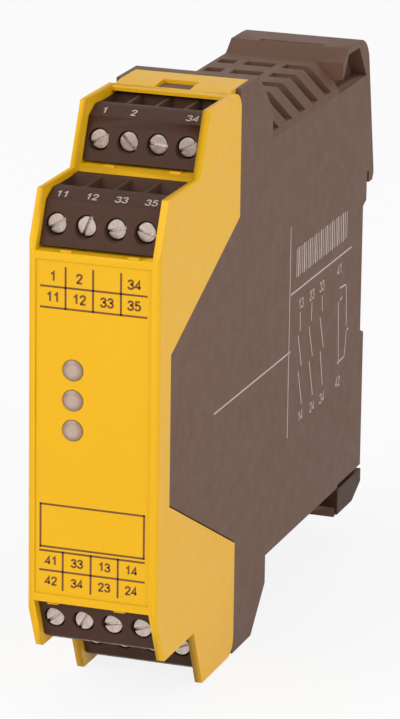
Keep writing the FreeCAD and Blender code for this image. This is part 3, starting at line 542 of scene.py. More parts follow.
BOARD_GREEN = Laminate("board_green", Slot.BOARD, (0.012, 0.075, 0.026), (0.06, 0.17, 0.05))
CORE_STEEL = StackedSheets("core_steel", Slot.CORE, (0.34, 0.34, 0.36))
WINDING_COPPER = WoundWire("winding_copper", Slot.WINDING, (0.55, 0.24, 0.09))
DARK_INK = Ink("dark_ink", Slot.COVER, (0.155, 0.054, 0.008))
PALE_INK = Ink("pale_ink", Slot.HOUSING, (0.50, 0.41, 0.36))
LIGHT_INK = Ink("light_ink", Slot.TERMINAL, (0.46, 0.40, 0.35))

_materials: dict[str, bpy.types.Material] = {}


def finish_of(finish: Finish) -> bpy.types.Material:
    """The finish's material, built once.

    Args:
        finish: One of the finishes above.

    Returns:
        Its material.
    """
    if finish.name not in _materials:
        _materials[finish.name] = finish.material()
    return _materials[finish.name]


# ------------------------------------------------------------------ making pieces
def dress(piece: bpy.types.Object, finish: Finish) -> bpy.types.Object:
    """Gives a piece its finish.

    Args:
        piece: The piece.
        finish: Its finish.

    Returns:
        The same piece.
    """
    piece.data.materials.clear()
    piece.data.materials.append(finish_of(finish))
    return piece


def dress_node(node: str, finish: Finish) -> None:
    """Gives a CAD node that stays as it is its finish.

    Args:
        node: Name of the node.
        finish: Its finish.
    """
    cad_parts[node].data.materials.clear()
    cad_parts[node].data.materials.append(finish_of(finish))


def new_piece(name: str, mesh: bpy.types.Mesh) -> bpy.types.Object:
    """Puts a mesh in the scene.

    Args:
        name: Name of the piece.
        mesh: Its mesh.

    Returns:
        The new object.
    """
    piece = bpy.data.objects.new(name, mesh)
    bpy.context.scene.collection.objects.link(piece)
    return piece


def piece_of(name: str, work: bmesh.types.BMesh) -> bpy.types.Object:
    """Puts a finished solid in the scene.

    Args:
        name: Name of the piece and of its mesh.
        work: The solid, which is used up.

    Returns:
        The new object.
    """
    mesh = bpy.data.meshes.new(name)
    work.to_mesh(mesh)
    work.free()
    return new_piece(name, mesh)


def modified(piece: bpy.types.Object) -> bpy.types.Mesh:
    """Takes a piece's modifiers off.

    Args:
        piece: The piece, whose own mesh stays as it was.

    Returns:
        The mesh that the modifiers gave.
    """
    bpy.context.view_layer.update()
    shape = bpy.data.meshes.new_from_object(piece.evaluated_get(bpy.context.evaluated_depsgraph_get()))
    piece.modifiers.clear()
    return shape


SMOOTH_ANGLE = 35.0


def settle(piece: bpy.types.Object, angle: float) -> None:
    """Shades a piece's curved faces smooth and keeps its flat faces flat.

    Args:
        piece: The piece.
        angle: Edges sharper than this many degrees stay sharp.
    """
    shape = modified(piece)
    shape.polygons.foreach_set("use_smooth", [True] * len(shape.polygons))
    shape.set_sharp_from_angle(angle=math.radians(angle))
    piece.data = shape
    level = piece.modifiers.new("level faces", "WEIGHTED_NORMAL")
    level.keep_sharp = True
    level.weight = 90
    piece.data = modified(piece)


@dataclass
class Softening:
    """How the edges of a moulded piece are rounded."""

    width: float = 0.00012
    segments: int = 2
    angle: float = 28.0
    smooth_angle: float = 50.0
    flatness: float = 0.4
    weld: float = 0.000002
    crowding: float = 3.0
    rounds: int = 12

    def outline(self, node: str) -> bmesh.types.BMesh:
        """The node's solid with its flat faces in one piece each.

        Args:
            node: Name of the CAD node.

        Returns:
            The solid, with a weight of 1 on the edges to round.
        """
        work = bmesh.new()
        work.from_mesh(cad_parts[node].data)
        bmesh.ops.remove_doubles(work, verts=work.verts[:], dist=self.weld)
        bmesh.ops.dissolve_limit(work, angle_limit=math.radians(self.flatness), verts=work.verts[:],
                                 edges=work.edges[:])
        weight = work.edges.layers.float.new("bevel_weight_edge")
        for edge in work.edges:
            edge[weight] = float(edge.calc_face_angle(0.0) > math.radians(self.angle))
        return work

    def rounded(self, piece: bpy.types.Object) -> bpy.types.Mesh:
        """The piece's mesh with its weighted edges rounded.

        Args:
            piece: The piece.

        Returns:
            A new mesh.
        """
        modifier = piece.modifiers.new("rounded edges", "BEVEL")
        modifier.width = self.width
        modifier.segments = self.segments
        modifier.limit_method = "WEIGHT"
        modifier.use_clamp_overlap = False
        return modified(piece)

    def copy_of(self, node: str, name: str) -> bpy.types.Object:
        """A copy of a CAD node with fine rounded edges, which then stands for the node.

        Where two edges are too close for both to be rounded, they stay sharp.

        Args:
            node: Name of the CAD node.
            name: Name of the new piece.

        Returns:
            The new piece.
        """
        work = self.outline(node)
        weight = work.edges.layers.float["bevel_weight_edge"]
        mesh = bpy.data.meshes.new(name)
        piece = new_piece(name, mesh)
        for turn in range(self.rounds):
            work.to_mesh(mesh)
            shape = self.rounded(piece)
            places = crossings(shape, self.crowding * self.width)
            LOG.info("%s: %d crowded places left in round %d", name, len(places), turn + 1)
            if not places:
                break
            reach = (self.crowding + turn) * self.width
            for edge in work.edges:
                if edge[weight] and any(near_edge(place, edge, reach) for place in places):
                    edge[weight] = 0.0
        work.free()
        piece.data = shape
        settle(piece, self.smooth_angle)
        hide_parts(node)
        return piece


def near_edge(place: Vector, edge: bmesh.types.BMEdge, reach: float) -> bool:
    """Whether a place lies within reach of an edge."""
    start, end = (vert.co for vert in edge.verts)
    run = end - start
    share = max(0.0, min(1.0, (place - start).dot(run) / max(run.length_squared, 1e-18)))
    return (place - start - run * share).length < reach


FOLDED_AREA = 1e-8
FACE_WARP = 0.00004


def crossings(mesh: bpy.types.Mesh, short: float) -> list[Vector]:
    """Finds where the faces of a mesh fold over themselves.

    Args:
        mesh: The mesh.
        short: Sides shorter than this are suspect in a face with no clear crossing.

    Returns:
        Points round each such place.
    """
    mesh.calc_loop_triangles()
    covered = [0.0] * len(mesh.polygons)
    for triangle in mesh.loop_triangles:
        covered[triangle.polygon_index] += triangle.area
    places = []
    for face in mesh.polygons:
        corners = [mesh.vertices[index].co for index in face.vertices]
        warp = max(abs((corner - face.center).dot(face.normal)) for corner in corners)
        if covered[face.index] - face.area >= FOLDED_AREA or warp >= FACE_WARP:
            places += folds(corners, face.normal, short)
    return places


def folds(corners: Sequence[Vector], normal: Vector, short: float) -> list[Vector]:
    """Finds where the outline of a folded face crosses itself.

    Args:
        corners: Corners of the face, in order.
        normal: Its normal.
        short: Length below which a side counts as short.

    Returns:
        Points at its crossings, or at its short sides where none cross, or all its corners.
    """
    across = (corners[1] - corners[0]).normalized()
    up = normal.cross(across)
    flat = [Vector((corner.dot(across), corner.dot(up))) for corner in corners]
    sides = [(spot, (spot + 1) % len(corners)) for spot in range(len(corners))]
    found = []
    for (start, end), (other, last) in combinations(sides, 2):
        if end == other or last == start or not sides_cross(flat[start], flat[end], flat[other], flat[last]):
            continue
        middle = (corners[start] + corners[end]) / 2
        narrow = (corners[start] - corners[end]).length < short
        found += [middle if narrow else corners[start], corners[other], corners[last]]
    ends = [corner for spot, corner in enumerate(corners) if (corner - corners[spot - 1]).length < short]
    return found or ends or list(corners)


def sides_cross(a: Vector, b: Vector, c: Vector, d: Vector) -> bool:
    """Whether the flat stretches a-b and c-d cross."""
    def turn(p: Vector, q: Vector, r: Vector) -> float:
        """Twice the signed area of a triangle."""
        return (q.x - p.x) * (r.y - p.y) - (q.y - p.y) * (r.x - p.x)

    return turn(a, b, c) * turn(a, b, d) < 0 and turn(c, d, a) * turn(c, d, b) < 0


def turned(profile: Sequence[Point], steps: int = 48) -> bmesh.types.BMesh:
    """A closed solid of revolution round the Y axis.

    Args:
        profile: Radius and place along Y of each corner, from one end of the axis to the other.
        steps: Faces round the axis.

    Returns:
        The solid.
    """
    work = bmesh.new()
    rings = []
    for radius, along in profile:
        if radius < 1e-7:
            rings.append([work.verts.new((0.0, along, 0.0))])
        else:
            rings.append([work.verts.new((radius * math.cos(2 * math.pi * step / steps), along,
                                          radius * math.sin(2 * math.pi * step / steps)))
                          for step in range(steps)])
    for first, second in zip(rings, rings[1:]):
        for step in range(steps):
            after = (step + 1) % steps
            corners = [first[step % len(first)], first[after % len(first)],
                       second[after % len(second)], second[step % len(second)]]
            distinct = list(dict.fromkeys(corners))
            if len(distinct) > 2:
                work.faces.new(distinct)
    bmesh.ops.recalc_face_normals(work, faces=work.faces[:])
    return work


def cut_by(piece: bpy.types.Object, tool: bpy.types.Object) -> None:
    """Cuts a tool's shape out of a piece and removes the tool.

    Args:
        piece: The piece.
        tool: The shape that is cut out.
    """
    modifier = piece.modifiers.new("cut", "BOOLEAN")
    modifier.operation = "DIFFERENCE"
    modifier.solver = "EXACT"
    modifier.object = tool
    piece.data = modified(piece)
    bpy.data.objects.remove(tool)


def prism(work: bmesh.types.BMesh, corners: Sequence[Vector], rise: Vector) -> None:
    """Adds a closed prism.

    Args:
        work: The mesh that it joins.
        corners: Its foot, in order.
        rise: From the foot to the top.
    """
    foot = [work.verts.new(corner) for corner in corners]
    top = [work.verts.new(corner + rise) for corner in corners]
    work.faces.new(foot[::-1])
    work.faces.new(top)
    for place in range(len(foot)):
        after = (place + 1) % len(foot)
        work.faces.new((foot[place], foot[after], top[after], top[place]))


# ------------------------------------------------------------------ print
DIGIT_HEIGHT = 6.0
DIGIT_WIDTH = 3.9
DIGIT_GAP = 1.2
DIGITS: dict[str, tuple[tuple[Point, ...], ...]] = {
    "1": (((0.7, 4.5), (2.5, 6.0), (2.5, 0.0)),),
    "2": (((0.2, 4.2), (0.4, 5.1), (1.1, 5.8), (2.0, 6.0), (3.0, 5.8), (3.6, 5.1), (3.6, 4.2),
           (3.1, 3.3), (0.4, 0.2)),
          ((-0.1, 0.0), (3.9, 0.0))),
    "3": (((0.3, 4.6), (0.6, 5.4), (1.3, 5.9), (2.1, 6.0), (3.0, 5.7), (3.5, 4.9), (3.3, 4.0),
           (2.7, 3.4), (1.6, 3.2)),
          ((1.6, 3.2), (2.8, 3.0), (3.6, 2.3), (3.8, 1.5), (3.4, 0.6), (2.6, 0.1), (1.8, 0.0),
           (0.9, 0.2), (0.3, 0.8), (0.1, 1.5))),
    "4": (((2.9, 0.0), (2.9, 6.0), (0.1, 1.5), (3.9, 1.5)),),
    "5": (((3.5, 6.0), (0.8, 6.0), (0.5, 3.0)),
          ((0.5, 3.2), (1.9, 3.8), (3.1, 3.4), (3.75, 2.4), (3.7, 1.3), (2.9, 0.3), (1.8, 0.0),
           (0.8, 0.3), (0.1, 1.2))),
}


@dataclass(frozen=True)
class Sheet:
    """A flat place that carries print."""

    origin: Vector
    right: Vector
    up: Vector

    @property
    def out(self) -> Vector:
        """The direction that the print faces."""
        return self.right.cross(self.up).normalized()

    def point(self, across: float, up: float, lift: float = 0.0) -> Vector:
        """A point of the sheet.

        Args:
            across: Millimetres to the right of its origin.
            up: Millimetres above its origin.
            lift: Metres in front of the sheet.

        Returns:
            The point in the row frame.
        """
        return self.origin + self.right * across * MM + self.up * up * MM + self.out * lift


@dataclass
class Print:
    """Lines and numbers of one ink on one sheet, as one piece."""

    sheet: Sheet
    finish: Ink
    depth: float = 0.000018
    sunk: float = 0.000006
    mitre: float = 0.45
    work: bmesh.types.BMesh = field(default_factory=bmesh.new)

    def line(self, start: Point, end: Point, width: float = 0.35) -> None:
        """Draws a straight line.

        Args:
            start: One end, in millimetres on the sheet.
            end: The other end.
            width: Its width in millimetres.
        """
        run = Vector((end[0] - start[0], end[1] - start[1]))
        side = Vector((-run.y, run.x)).normalized() * width / 2
        along = run.normalized() * width / 2
        first, second = Vector(start) - along, Vector(end) + along
        corners = [self.sheet.point(p.x, p.y, -self.sunk)
                   for p in (first - side, second - side, second + side, first + side)]
        prism(self.work, corners, self.sheet.out * (self.depth + self.sunk))

    def path(self, points: Sequence[Point], width: float = 0.35) -> None:
        """Draws lines from point to point."""
        for start, end in zip(points, points[1:]):
            self.line(start, end, width)

    def frame(self, left: float, right: float, bottom: float, top: float, width: float = 0.35) -> None:
        """Draws an empty rectangle.

        Args:
            left: Its left side, in millimetres on the sheet.
            right: Its right side.
            bottom: Its lower side.
            top: Its upper side.
            width: Width of its lines.
        """
        self.path([(left, bottom), (right, bottom), (right, top), (left, top), (left, bottom)], width)

    def ribbon(self, points: Sequence[Vector], width: float) -> None:
        """Draws one stroke with mitred bends.

        Args:
            points: Its corners, in millimetres on the sheet.
            width: Its width in millimetres.
        """
        sides = []
        for place, point in enumerate(points):
            before = (point - points[place - 1]).normalized() if place else None
            after = (points[place + 1] - point).normalized() if place + 1 < len(points) else None
            along = ((before or after) + (after or before)).normalized()
            reach = width / 2 / max(self.mitre, along.dot(after or before))
            side = Vector((-along.y, along.x)) * reach
            sides.append((point - side, point + side))
        foot, top = [], []
        for pair in sides:
            foot.append([self.work.verts.new(self.sheet.point(p.x, p.y, -self.sunk)) for p in pair])
            top.append([self.work.verts.new(self.sheet.point(p.x, p.y, self.depth)) for p in pair])
        for place in range(len(sides) - 1):
            after = place + 1
            self.work.faces.new((top[place][0], top[after][0], top[after][1], top[place][1]))
            self.work.faces.new((foot[place][1], foot[after][1], foot[after][0], foot[place][0]))
            self.work.faces.new((foot[place][0], foot[after][0], top[after][0], top[place][0]))
            self.work.faces.new((top[place][1], top[after][1], foot[after][1], foot[place][1]))
        self.work.faces.new((foot[0][1], foot[0][0], top[0][0], top[0][1]))
        self.work.faces.new((foot[-1][0], foot[-1][1], top[-1][1], top[-1][0]))

    def number(self, text: str, centre: Point, height: float, weight: float = 0.165) -> None:
        """Draws a number in plain strokes.

        Args:
            text: Its digits.
            centre: Its middle, in millimetres on the sheet.
            height: Height of the digits in millimetres.
            weight: Width of a stroke, as a share of the height.
        """
        scale = height * (1.0 - weight) / DIGIT_HEIGHT
        start = centre[0] - (len(text) * DIGIT_WIDTH + (len(text) - 1) * DIGIT_GAP) * scale / 2
        for place, digit in enumerate(text):
            left = start + place * (DIGIT_WIDTH + DIGIT_GAP) * scale
            for stroke in DIGITS[digit]:
                points = [(left + x * scale, centre[1] + (y - DIGIT_HEIGHT / 2) * scale) for x, y in stroke]
                self.ribbon([Vector(point) for point in points], height * weight)

    def make(self, name: str, body: str) -> bpy.types.Object:
        """Turns the drawing into a piece.

        Args:
            name: Name of the piece.
            body: CAD body that it rides on.

        Returns:
            The piece.
        """
        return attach(dress(piece_of(name, self.work), self.finish), body)


# ------------------------------------------------------------------ sub-assemblies
@dataclass
class Shell:
    """The yellow cover and the brown housing behind it."""

    cover_edge: float = 0.00011
    housing_edge: float = 0.00014

    def build(self) -> list[bpy.types.Object]:
        """Builds both shells.

        Returns:
            The two pieces.
        """
        cover = Softening(self.cover_edge).copy_of("front_cover", "cover_shell")
        housing = Softening(self.housing_edge).copy_of("housing", "housing_shell")
        dress(cover, COVER_YELLOW)
        dress(housing, HOUSING_BROWN)
        return [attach(cover, "module"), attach(housing, "module")]


@dataclass(frozen=True)
class NumberGrid:
    """A ruled grid of terminal numbers, in millimetres on the front face."""

    digit: float
    levels: tuple[float, ...]
    uprights: tuple[float, ...]
    reach: tuple[float, float]
    columns: tuple[float, ...]
    rows: tuple[tuple[float, tuple[str, ...]], ...]

    def draw(self, ink: Print, half_width: float, line: float, weight: float) -> None:
        """Draws the grid.

        Args:
            ink: The print that it joins.
            half_width: Half the length of its level lines.
            line: Width of its lines.
            weight: Width of a digit's stroke, as a share of its height.
        """
        for height in self.levels:
            ink.line((-half_width, height), (half_width, height), line)
        for across in self.uprights:
            ink.line((across, self.reach[0]), (across, self.reach[1]), line)
        for height, numbers in self.rows:
            for text, across in zip(numbers, self.columns):
                if text:
                    ink.number(text, (across, height), self.digit, weight)


@dataclass
class FrontLabel:
    """Terminal grids and the empty field printed on the front face."""

    recess: float = 0.25
    half_width: float = 9.0
    line: float = 0.33
    weight: float = 0.19
    upper: NumberGrid = NumberGrid(
        1.75, (23.8, 20.3), (-4.8, -0.1, 4.65), (20.3, 27.1), (-6.97, -2.45, 2.27, 6.9),
        ((25.5, ("1", "2", "", "34")), (22.05, ("11", "12", "33", "35"))))
    lower: NumberGrid = NumberGrid(
        1.6, (-20.85, -24.2), (-5.05, -0.2, 4.5), (-20.85, -27.3), (-7.1, -2.6, 2.15, 6.8),
        ((-22.5, ("41", "33", "13", "14")), (-25.95, ("42", "34", "23", "24"))))
    field_sides: tuple[float, float] = (-8.95, 8.95)
    field_ends: tuple[float, float] = (-20.15, -12.9)

    def build(self) -> list[bpy.types.Object]:
        """Builds the front print.

        Returns:
            The print as one piece.
        """
        sheet = Sheet(Vector((0.0, FRONT + self.recess * MM, 0.0)), Vector((1, 0, 0)), Vector((0, 0, 1)))
        ink = Print(sheet, DARK_INK)
        self.upper.draw(ink, self.half_width, self.line, self.weight)
        ink.frame(*self.field_sides, *self.field_ends, self.line)
        self.lower.draw(ink, self.half_width, self.line, self.weight)
        return [ink.make("front_print", "module")]


@dataclass
class SidePrint:
    """Contact diagram and plain ruling printed on the right side of the housing."""

    face: float = 11.0
    digit: float = 1.9
    weight: float = 0.12
    line: float = 0.30
    numbers: tuple[tuple[str, float, float], ...] = (
        ("13", 73.4, 3.8), ("14", 74.1, -16.9), ("23", 79.5, 3.8), ("24", 80.7, -17.0),
        ("33", 85.1, 3.9), ("34", 86.3, -17.0), ("41", 95.2, 4.4), ("42", 95.4, -16.6))
    strokes: tuple[tuple[Point, ...], ...] = (
        ((28.0, -3.4), (67.8, -3.5)), ((67.7, 6.8), (101.8, 6.9)), ((67.0, 19.0), (67.0, -18.9)),
        ((73.0, 2.2), (73.1, -1.0)), ((72.1, -1.8), (74.1, -7.6)), ((72.5, -8.5), (74.6, -14.7)),
        ((79.5, 2.2), (79.4, -0.8)), ((78.2, -1.8), (80.3, -7.5)), ((78.6, -8.3), (80.8, -14.8)),
        ((85.3, 2.0), (85.5, -0.6)), ((84.4, -1.8), (86.5, -7.5)), ((84.9, -8.2), (86.4, -14.5)),
        ((95.8, 0.8), (99.3, 0.6), (99.9, -7.2)), ((96.0, -1.5), (97.1, -1.2)),
        ((94.8, -1.6), (95.6, -13.2)), ((95.0, -13.0), (99.1, -12.8), (100.0, -8.2), (101.1, -8.1)))
    ruling_start: float = 70.6
    ruling_pitch: float = 1.05
    ruling_lines: int = 28
    ruling_widths: tuple[float, ...] = (0.28, 0.5, 0.28)
    ruling_ends: tuple[float, float] = (9.4, 14.2)

    def build(self) -> list[bpy.types.Object]:
        """Builds the side print.

        Returns:
            The print as one piece.
        """
        sheet = Sheet(Vector((self.face * MM, FRONT, 0.0)), Vector((0, 1, 0)), Vector((0, 0, 1)))
        ink = Print(sheet, PALE_INK)
        for stroke in self.strokes:
            ink.path(stroke, self.line)
        for text, across, height in self.numbers:
            ink.number(text, (across, height), self.digit, self.weight)
        for step in range(self.ruling_lines):
            place = self.ruling_start + step * self.ruling_pitch
            width = self.ruling_widths[step % len(self.ruling_widths)]
            ink.line((place, self.ruling_ends[0]), (place, self.ruling_ends[1]), width)
        return [ink.make("side_print", "module")]


@dataclass
class StatusLights:
    """Three domed lenses in the front face."""

    radius: float = 1.75
    dome: float = 0.34
    dome_steps: int = 7
    dome_turn: float = 0.12
    barrel: float = 1.2
    neck: float = 1.9
    end_chamfer: float = 0.2
    narrowing: tuple[float, float, float] = (0.75, 0.6, 0.5)

    def build(self) -> list[bpy.types.Object]:
        """Builds the lenses.

        Returns:
            One piece for each lens.
        """
        return [self.lens(node) for node in ("lens_top", "lens_middle", "lens_bottom")]

    def lens(self, node: str) -> bpy.types.Object:
        """Builds one lens over its CAD node.

        Args:
            node: Name of the CAD node.

        Returns:
            The lens.
        """
        low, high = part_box(node)
        middle = Vector(((low.x + high.x) / 2, low.y, (low.z + high.z) / 2))
        reach = high.y - low.y
        radius = self.radius * MM
        steps = [turn * self.dome_turn for turn in range(self.dome_steps + 1)]
        dome = [(radius * math.sin(turn) / math.sin(steps[-1]),
                 self.dome * MM * (1 - math.cos(turn)) / (1 - math.cos(steps[-1]))) for turn in steps]
        neck, shaft, end = (radius * share for share in self.narrowing)
        pipe = [(radius, (self.dome + self.barrel) * MM), (neck, self.neck * MM),
                (shaft, reach - self.end_chamfer * MM), (end, reach), (0.0, reach)]
        piece = piece_of(node + "_dome", turned([*dome, *pipe]))
        settle(piece, SMOOTH_ANGLE)
        piece.location = middle
        dress(piece, LENS_CLEAR)
        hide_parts(node)
        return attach(piece, "module")


@dataclass
class ClampScrews:
    """The sixteen slotted screws of the terminals."""

    head: float = 1.65
    head_length: float = 1.8
    front_edge: float = 0.14
    back_edge: float = 0.1
    shank: float = 1.25
    neck: float = 0.6
    thread: float = 0.45
    thread_root: float = 0.84
    point: float = 0.7
    point_share: float = 0.7
    faces: int = 40
    slot_width: float = 0.55
    slot_depth: float = 0.75
    slot_reach: float = 2.0
    slot_lead: float = 0.5
    turns: dict[str, tuple[int, ...]] = field(default_factory=lambda: {
        "upper_front": (32, 66, 15, -15), "upper_rear": (28, -46, -5, 28),
        "lower_front": (38, 60, 10, 20), "lower_rear": (32, -8, 64, 20)})

    def profile(self, length: float) -> list[Point]:
        """Outline of a screw from its flat, chamfered head to its point.

        Args:
            length: From the head's face to the point.

        Returns:
            Radius and place along Y of each corner.
        """
        head, shank, seat = self.head * MM, self.shank * MM, self.head_length * MM
        front, back = self.front_edge * MM, self.back_edge * MM
        outline = [(0.0, 0.0), (head - front, 0.0), (head, front), (head, seat - back),
                   (head - back, seat), (shank, seat)]
        along = seat + self.neck * MM
        while along < length - self.point * MM:
            outline += [(shank, along), (shank * self.thread_root, along + self.thread * MM / 2)]
            along += self.thread * MM
        return [*outline, (shank * self.point_share, length), (0.0, length)]

    def slot_tool(self) -> bpy.types.Object:
        """The shape of the driver slot, as a closed tool for cutting."""
        work = bmesh.new()
        reach, half, lead = self.slot_reach * MM, self.slot_width * MM / 2, self.slot_lead * MM
        corners = [Vector((x, -lead, z))
                   for x, z in ((-reach, -half), (reach, -half), (reach, half), (-reach, half))]
        prism(work, corners, Vector((0.0, lead + self.slot_depth * MM, 0.0)))
        bmesh.ops.recalc_face_normals(work, faces=work.faces[:])
        return piece_of("slot", work)

    def pattern(self, length: float) -> bpy.types.Mesh:
        """The mesh that all screws share.

        Args:
            length: From the head's face to the point.

        Returns:
            A slotted screw.
        """
        piece = piece_of("clamp_screw", turned(self.profile(length), self.faces))
        cut_by(piece, self.slot_tool())
        settle(piece, SMOOTH_ANGLE)
        shape = piece.data
        bpy.data.objects.remove(piece)
        return shape

    def build(self) -> list[bpy.types.Object]:
        """Builds all screws.

        Returns:
            One piece for each screw.
        """
        low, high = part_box("screw_upper_front_1")
        shape = self.pattern(high.y - low.y)
        pieces = []
        for tier in Tier:
            for number, turn in enumerate(self.turns[tier.value], 1):
                node = f"screw_{tier.value}_{number}"
                low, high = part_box(node)
                piece = new_piece(node + "_turned", shape.copy())
                piece.rotation_euler = (0.0, math.radians(-turn), 0.0)
                piece.location = ((low.x + high.x) / 2, low.y, (low.z + high.z) / 2)
                dress(piece, SCREW_STEEL)
                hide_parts(node)
                pieces.append(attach(piece, node))
        return pieces


@dataclass
class Plugs:
    """The four plug-in terminal blocks with the numbers on their sloping strips."""

    edge: float = 0.00010
    digit: float = 1.55
    weight: float = 0.145
    strip: tuple[float, float] = (4.6, 37.0)
    run: float = 2.8
    fall: float = 1.3
    pitch: float = 5.08
    numbers: dict[str, tuple[str, ...]] = field(default_factory=lambda: {
        "upper_front": ("11", "12", "33", "35"), "upper_rear": ("1", "2", "", "34"),
        "lower_front": ("41", "33", "13", "14"), "lower_rear": ("42", "34", "23", "24")})

    def build(self) -> list[bpy.types.Object]:
        """Builds the blocks and their numbers.

        Returns:
            Two pieces for each block.
        """
        pieces = []
        for tier in Tier:
            block = Softening(self.edge).copy_of(f"plug_{tier.value}", f"terminal_block_{tier.value}")
            dress(block, TERMINAL_BROWN)
            pieces += [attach(block, f"plug_{tier.value}"), self.marks(tier)]
        return pieces

    def marks(self, tier: Tier) -> bpy.types.Object:
        """Builds the numbers of one block.

        Args:
            tier: The row of the block.

        Returns:
            The numbers as one piece.
        """
        middle = Vector((0.0, FRONT + (self.strip[0] + self.run / 2) * MM + tier.setback,
                         tier.side * ((self.strip[1] + self.fall / 2) * MM + tier.rise)))
        up = Vector((0.0, tier.side * self.run, self.fall)).normalized()
        ink = Print(Sheet(middle, Vector((1, 0, 0)), up), LIGHT_INK)
        for column, text in enumerate(self.numbers[tier.value]):
            if text:
                ink.number(text, ((column - 1.5) * self.pitch, 0.0), self.digit, self.weight)
        return ink.make(f"terminal_numbers_{tier.value}", f"plug_{tier.value}")


@dataclass
class RailFoot:
    """The sprung foot that grips the rail's lower edge."""

    edge: float = 0.00014

    def build(self) -> list[bpy.types.Object]:
        """Builds the foot.

        Returns:
            The foot as one piece.
        """
        foot = Softening(self.edge).copy_of("rail_foot", "foot_slide")
        dress(foot, FOOT_BROWN)
        return [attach(foot, "rail_foot")]


@dataclass
class Interior:
    """Board, relays, transformer, contacts and clamps, which stay as they are in the CAD."""

    finishes: dict[str, Finish] = field(default_factory=lambda: {
        "circuit_board": BOARD_GREEN, "relay_upper": RELAY_GREY, "relay_lower": RELAY_GREY,
        "transformer_core": CORE_STEEL, "transformer_winding": WINDING_COPPER,
        "smoothing_capacitor": SLEEVE_BLUE, "logic_chips": CHIP_BLACK, "indicator_leds": LED_WHITE,
        "header_pins": CONTACT_TIN})

    def build(self) -> list[bpy.types.Object]:
        """Dresses the CAD nodes.

        Returns:
            No new pieces.
        """
        for node, finish in self.finishes.items():
            dress_node(node, finish)
        for tier in Tier:
            dress_node(f"header_{tier.value}", HEADER_BLACK)
            dress_node(f"contacts_{tier.value}", CONTACT_TIN)
            for number in range(1, 5):
                dress_node(f"clamp_{tier.value}_{number}", CLAMP_STEEL)
        return []


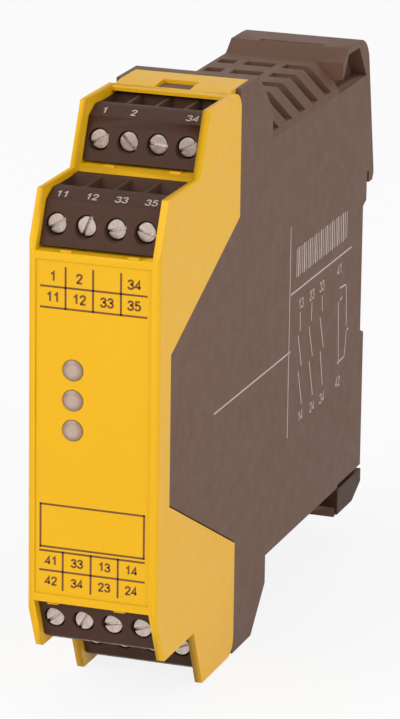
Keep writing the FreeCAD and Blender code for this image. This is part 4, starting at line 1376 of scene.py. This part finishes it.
# ------------------------------------------------------------------ studio
@dataclass
class Studio:
    """Plain pale floor, soft lamps and the camera."""

    floor_gap: float = 0.0001
    floor_size: float = 8.0
    floor_white: float = 0.86
    azimuth: float = 19.322913
    elevation: float = 16.460650
    roll: float = 0.793981
    distance: float = 0.7826356
    target: tuple[float, float, float] = (-0.00108986, -0.0555, -0.00270978)
    lens: float = 227.905
    sky: float = 0.56
    lamps: tuple[tuple[tuple[float, float, float], float, float], ...] = (
        ((-0.55, -1.10, 0.70), 0.9, 8.5),
        ((1.10, -0.55, 0.35), 0.8, 5.0),
        ((0.20, -0.10, 1.30), 0.7, 0.4))

    def build(self) -> None:
        """Builds the floor, the sky, the lamps and the camera."""
        self.floor()
        self.heaven()
        for number, (place, size, power) in enumerate(self.lamps, 1):
            self.lamp(f"softbox_{number}", Vector(place), size, power)
        self.camera()
        bpy.context.scene.view_settings.view_transform = "Standard"

    def seen_directly(self, tree: bpy.types.NodeTree) -> bpy.types.NodeSocket:
        """1 for rays that show a background: from the camera, off gloss or through glass."""
        path = tree.nodes.new("ShaderNodeLightPath")
        seen = path.outputs["Is Camera Ray"]
        for kind in ("Is Glossy Ray", "Is Transmission Ray"):
            either = tree.nodes.new("ShaderNodeMath")
            either.operation = "MAXIMUM"
            tree.links.new(seen, either.inputs[0])
            tree.links.new(path.outputs[kind], either.inputs[1])
            seen = either.outputs[0]
        return seen

    def floor(self) -> None:
        """Lays the floor just under the module."""
        work = bmesh.new()
        bmesh.ops.create_grid(work, x_segments=8, y_segments=8, size=self.floor_size / 2)
        bmesh.ops.translate(work, verts=work.verts[:], vec=(0.0, 0.0, CAD_BOX[0][2] - self.floor_gap))
        floor = piece_of("floor", work)
        graph = Graph("pale_floor")
        graph.set(Base_Color=(0.93, 0.93, 0.93, 1.0), Roughness=0.9, Specular_IOR_Level=0.1)
        glow = graph.add("ShaderNodeEmission")
        glow.inputs["Strength"].default_value = 1.0
        mix = graph.add("ShaderNodeMixShader")
        seen = self.seen_directly(graph.tree)
        graph.link(graph.remap(seen, 0.0, self.floor_white, 0.0, 1.0), mix.inputs[0])
        graph.link(graph.shader.outputs["BSDF"], mix.inputs[1])
        graph.link(glow.outputs["Emission"], mix.inputs[2])
        graph.link(mix.outputs["Shader"], graph.output.inputs["Surface"])
        floor.data.materials.append(graph.material)

    def heaven(self) -> None:
        """Surrounds the scene with even light that shows as white."""
        world = bpy.data.worlds.new("studio")
        bpy.context.scene.world = world
        world.use_nodes = True
        tree = world.node_tree
        tree.nodes.clear()
        output = tree.nodes.new("ShaderNodeOutputWorld")
        mix = tree.nodes.new("ShaderNodeMixShader")
        tree.links.new(self.seen_directly(tree), mix.inputs[0])
        for number, strength in enumerate((self.sky, 1.0), 1):
            light = tree.nodes.new("ShaderNodeBackground")
            light.inputs["Color"].default_value = (1.0, 1.0, 1.0, 1.0)
            light.inputs["Strength"].default_value = strength
            tree.links.new(light.outputs[0], mix.inputs[number])
        tree.links.new(mix.outputs[0], output.inputs["Surface"])

    def lamp(self, name: str, place: Vector, size: float, power: float) -> None:
        """Hangs a square soft lamp that looks at the module.

        Args:
            name: Name of the lamp.
            place: Its middle.
            size: Length of its sides.
            power: Its power in watts.
        """
        light = bpy.data.lights.new(name, "AREA")
        light.shape = "SQUARE"
        light.size = size
        light.energy = power
        lamp = bpy.data.objects.new(name, light)
        bpy.context.scene.collection.objects.link(lamp)
        aim = Vector(self.target) - place
        lamp.matrix_world = Matrix.Translation(place) @ aim.to_track_quat("-Z", "Y").to_matrix().to_4x4()

    def camera(self) -> None:
        """Places the camera."""
        turn, rise, roll = (math.radians(a) for a in (self.azimuth, self.elevation, self.roll))
        back = Vector((math.sin(turn) * math.cos(rise), -math.cos(turn) * math.cos(rise), math.sin(rise)))
        right = (-back).cross(Vector((0, 0, 1))).normalized()
        up = right.cross(-back)
        across = right * math.cos(roll) + up * math.sin(roll)
        above = up * math.cos(roll) - right * math.sin(roll)
        place = Vector(self.target) + back * self.distance
        view = bpy.data.cameras.new("camera")
        view.lens = self.lens
        view.sensor_width = 36.0
        view.clip_start = 0.01
        view.clip_end = 50.0
        camera = bpy.data.objects.new("camera", view)
        bpy.context.scene.collection.objects.link(camera)
        camera.matrix_world = Matrix((
            (across.x, above.x, back.x, place.x), (across.y, above.y, back.y, place.y),
            (across.z, above.z, back.z, place.z), (0.0, 0.0, 0.0, 1.0)))
        bpy.context.scene.camera = camera


def main() -> None:
    """Builds the sub-assemblies in order and reports each piece."""
    logging.basicConfig(level=logging.INFO, format="%(name)s: %(message)s")
    for part in (Shell(), FrontLabel(), SidePrint(), StatusLights(), ClampScrews(), Plugs(), RailFoot(),
                 Interior()):
        for piece in part.build():
            LOG.info("%s: %d faces", piece.name, len(piece.data.polygons))
    Studio().build()


if __name__ == "__main__":
    main()
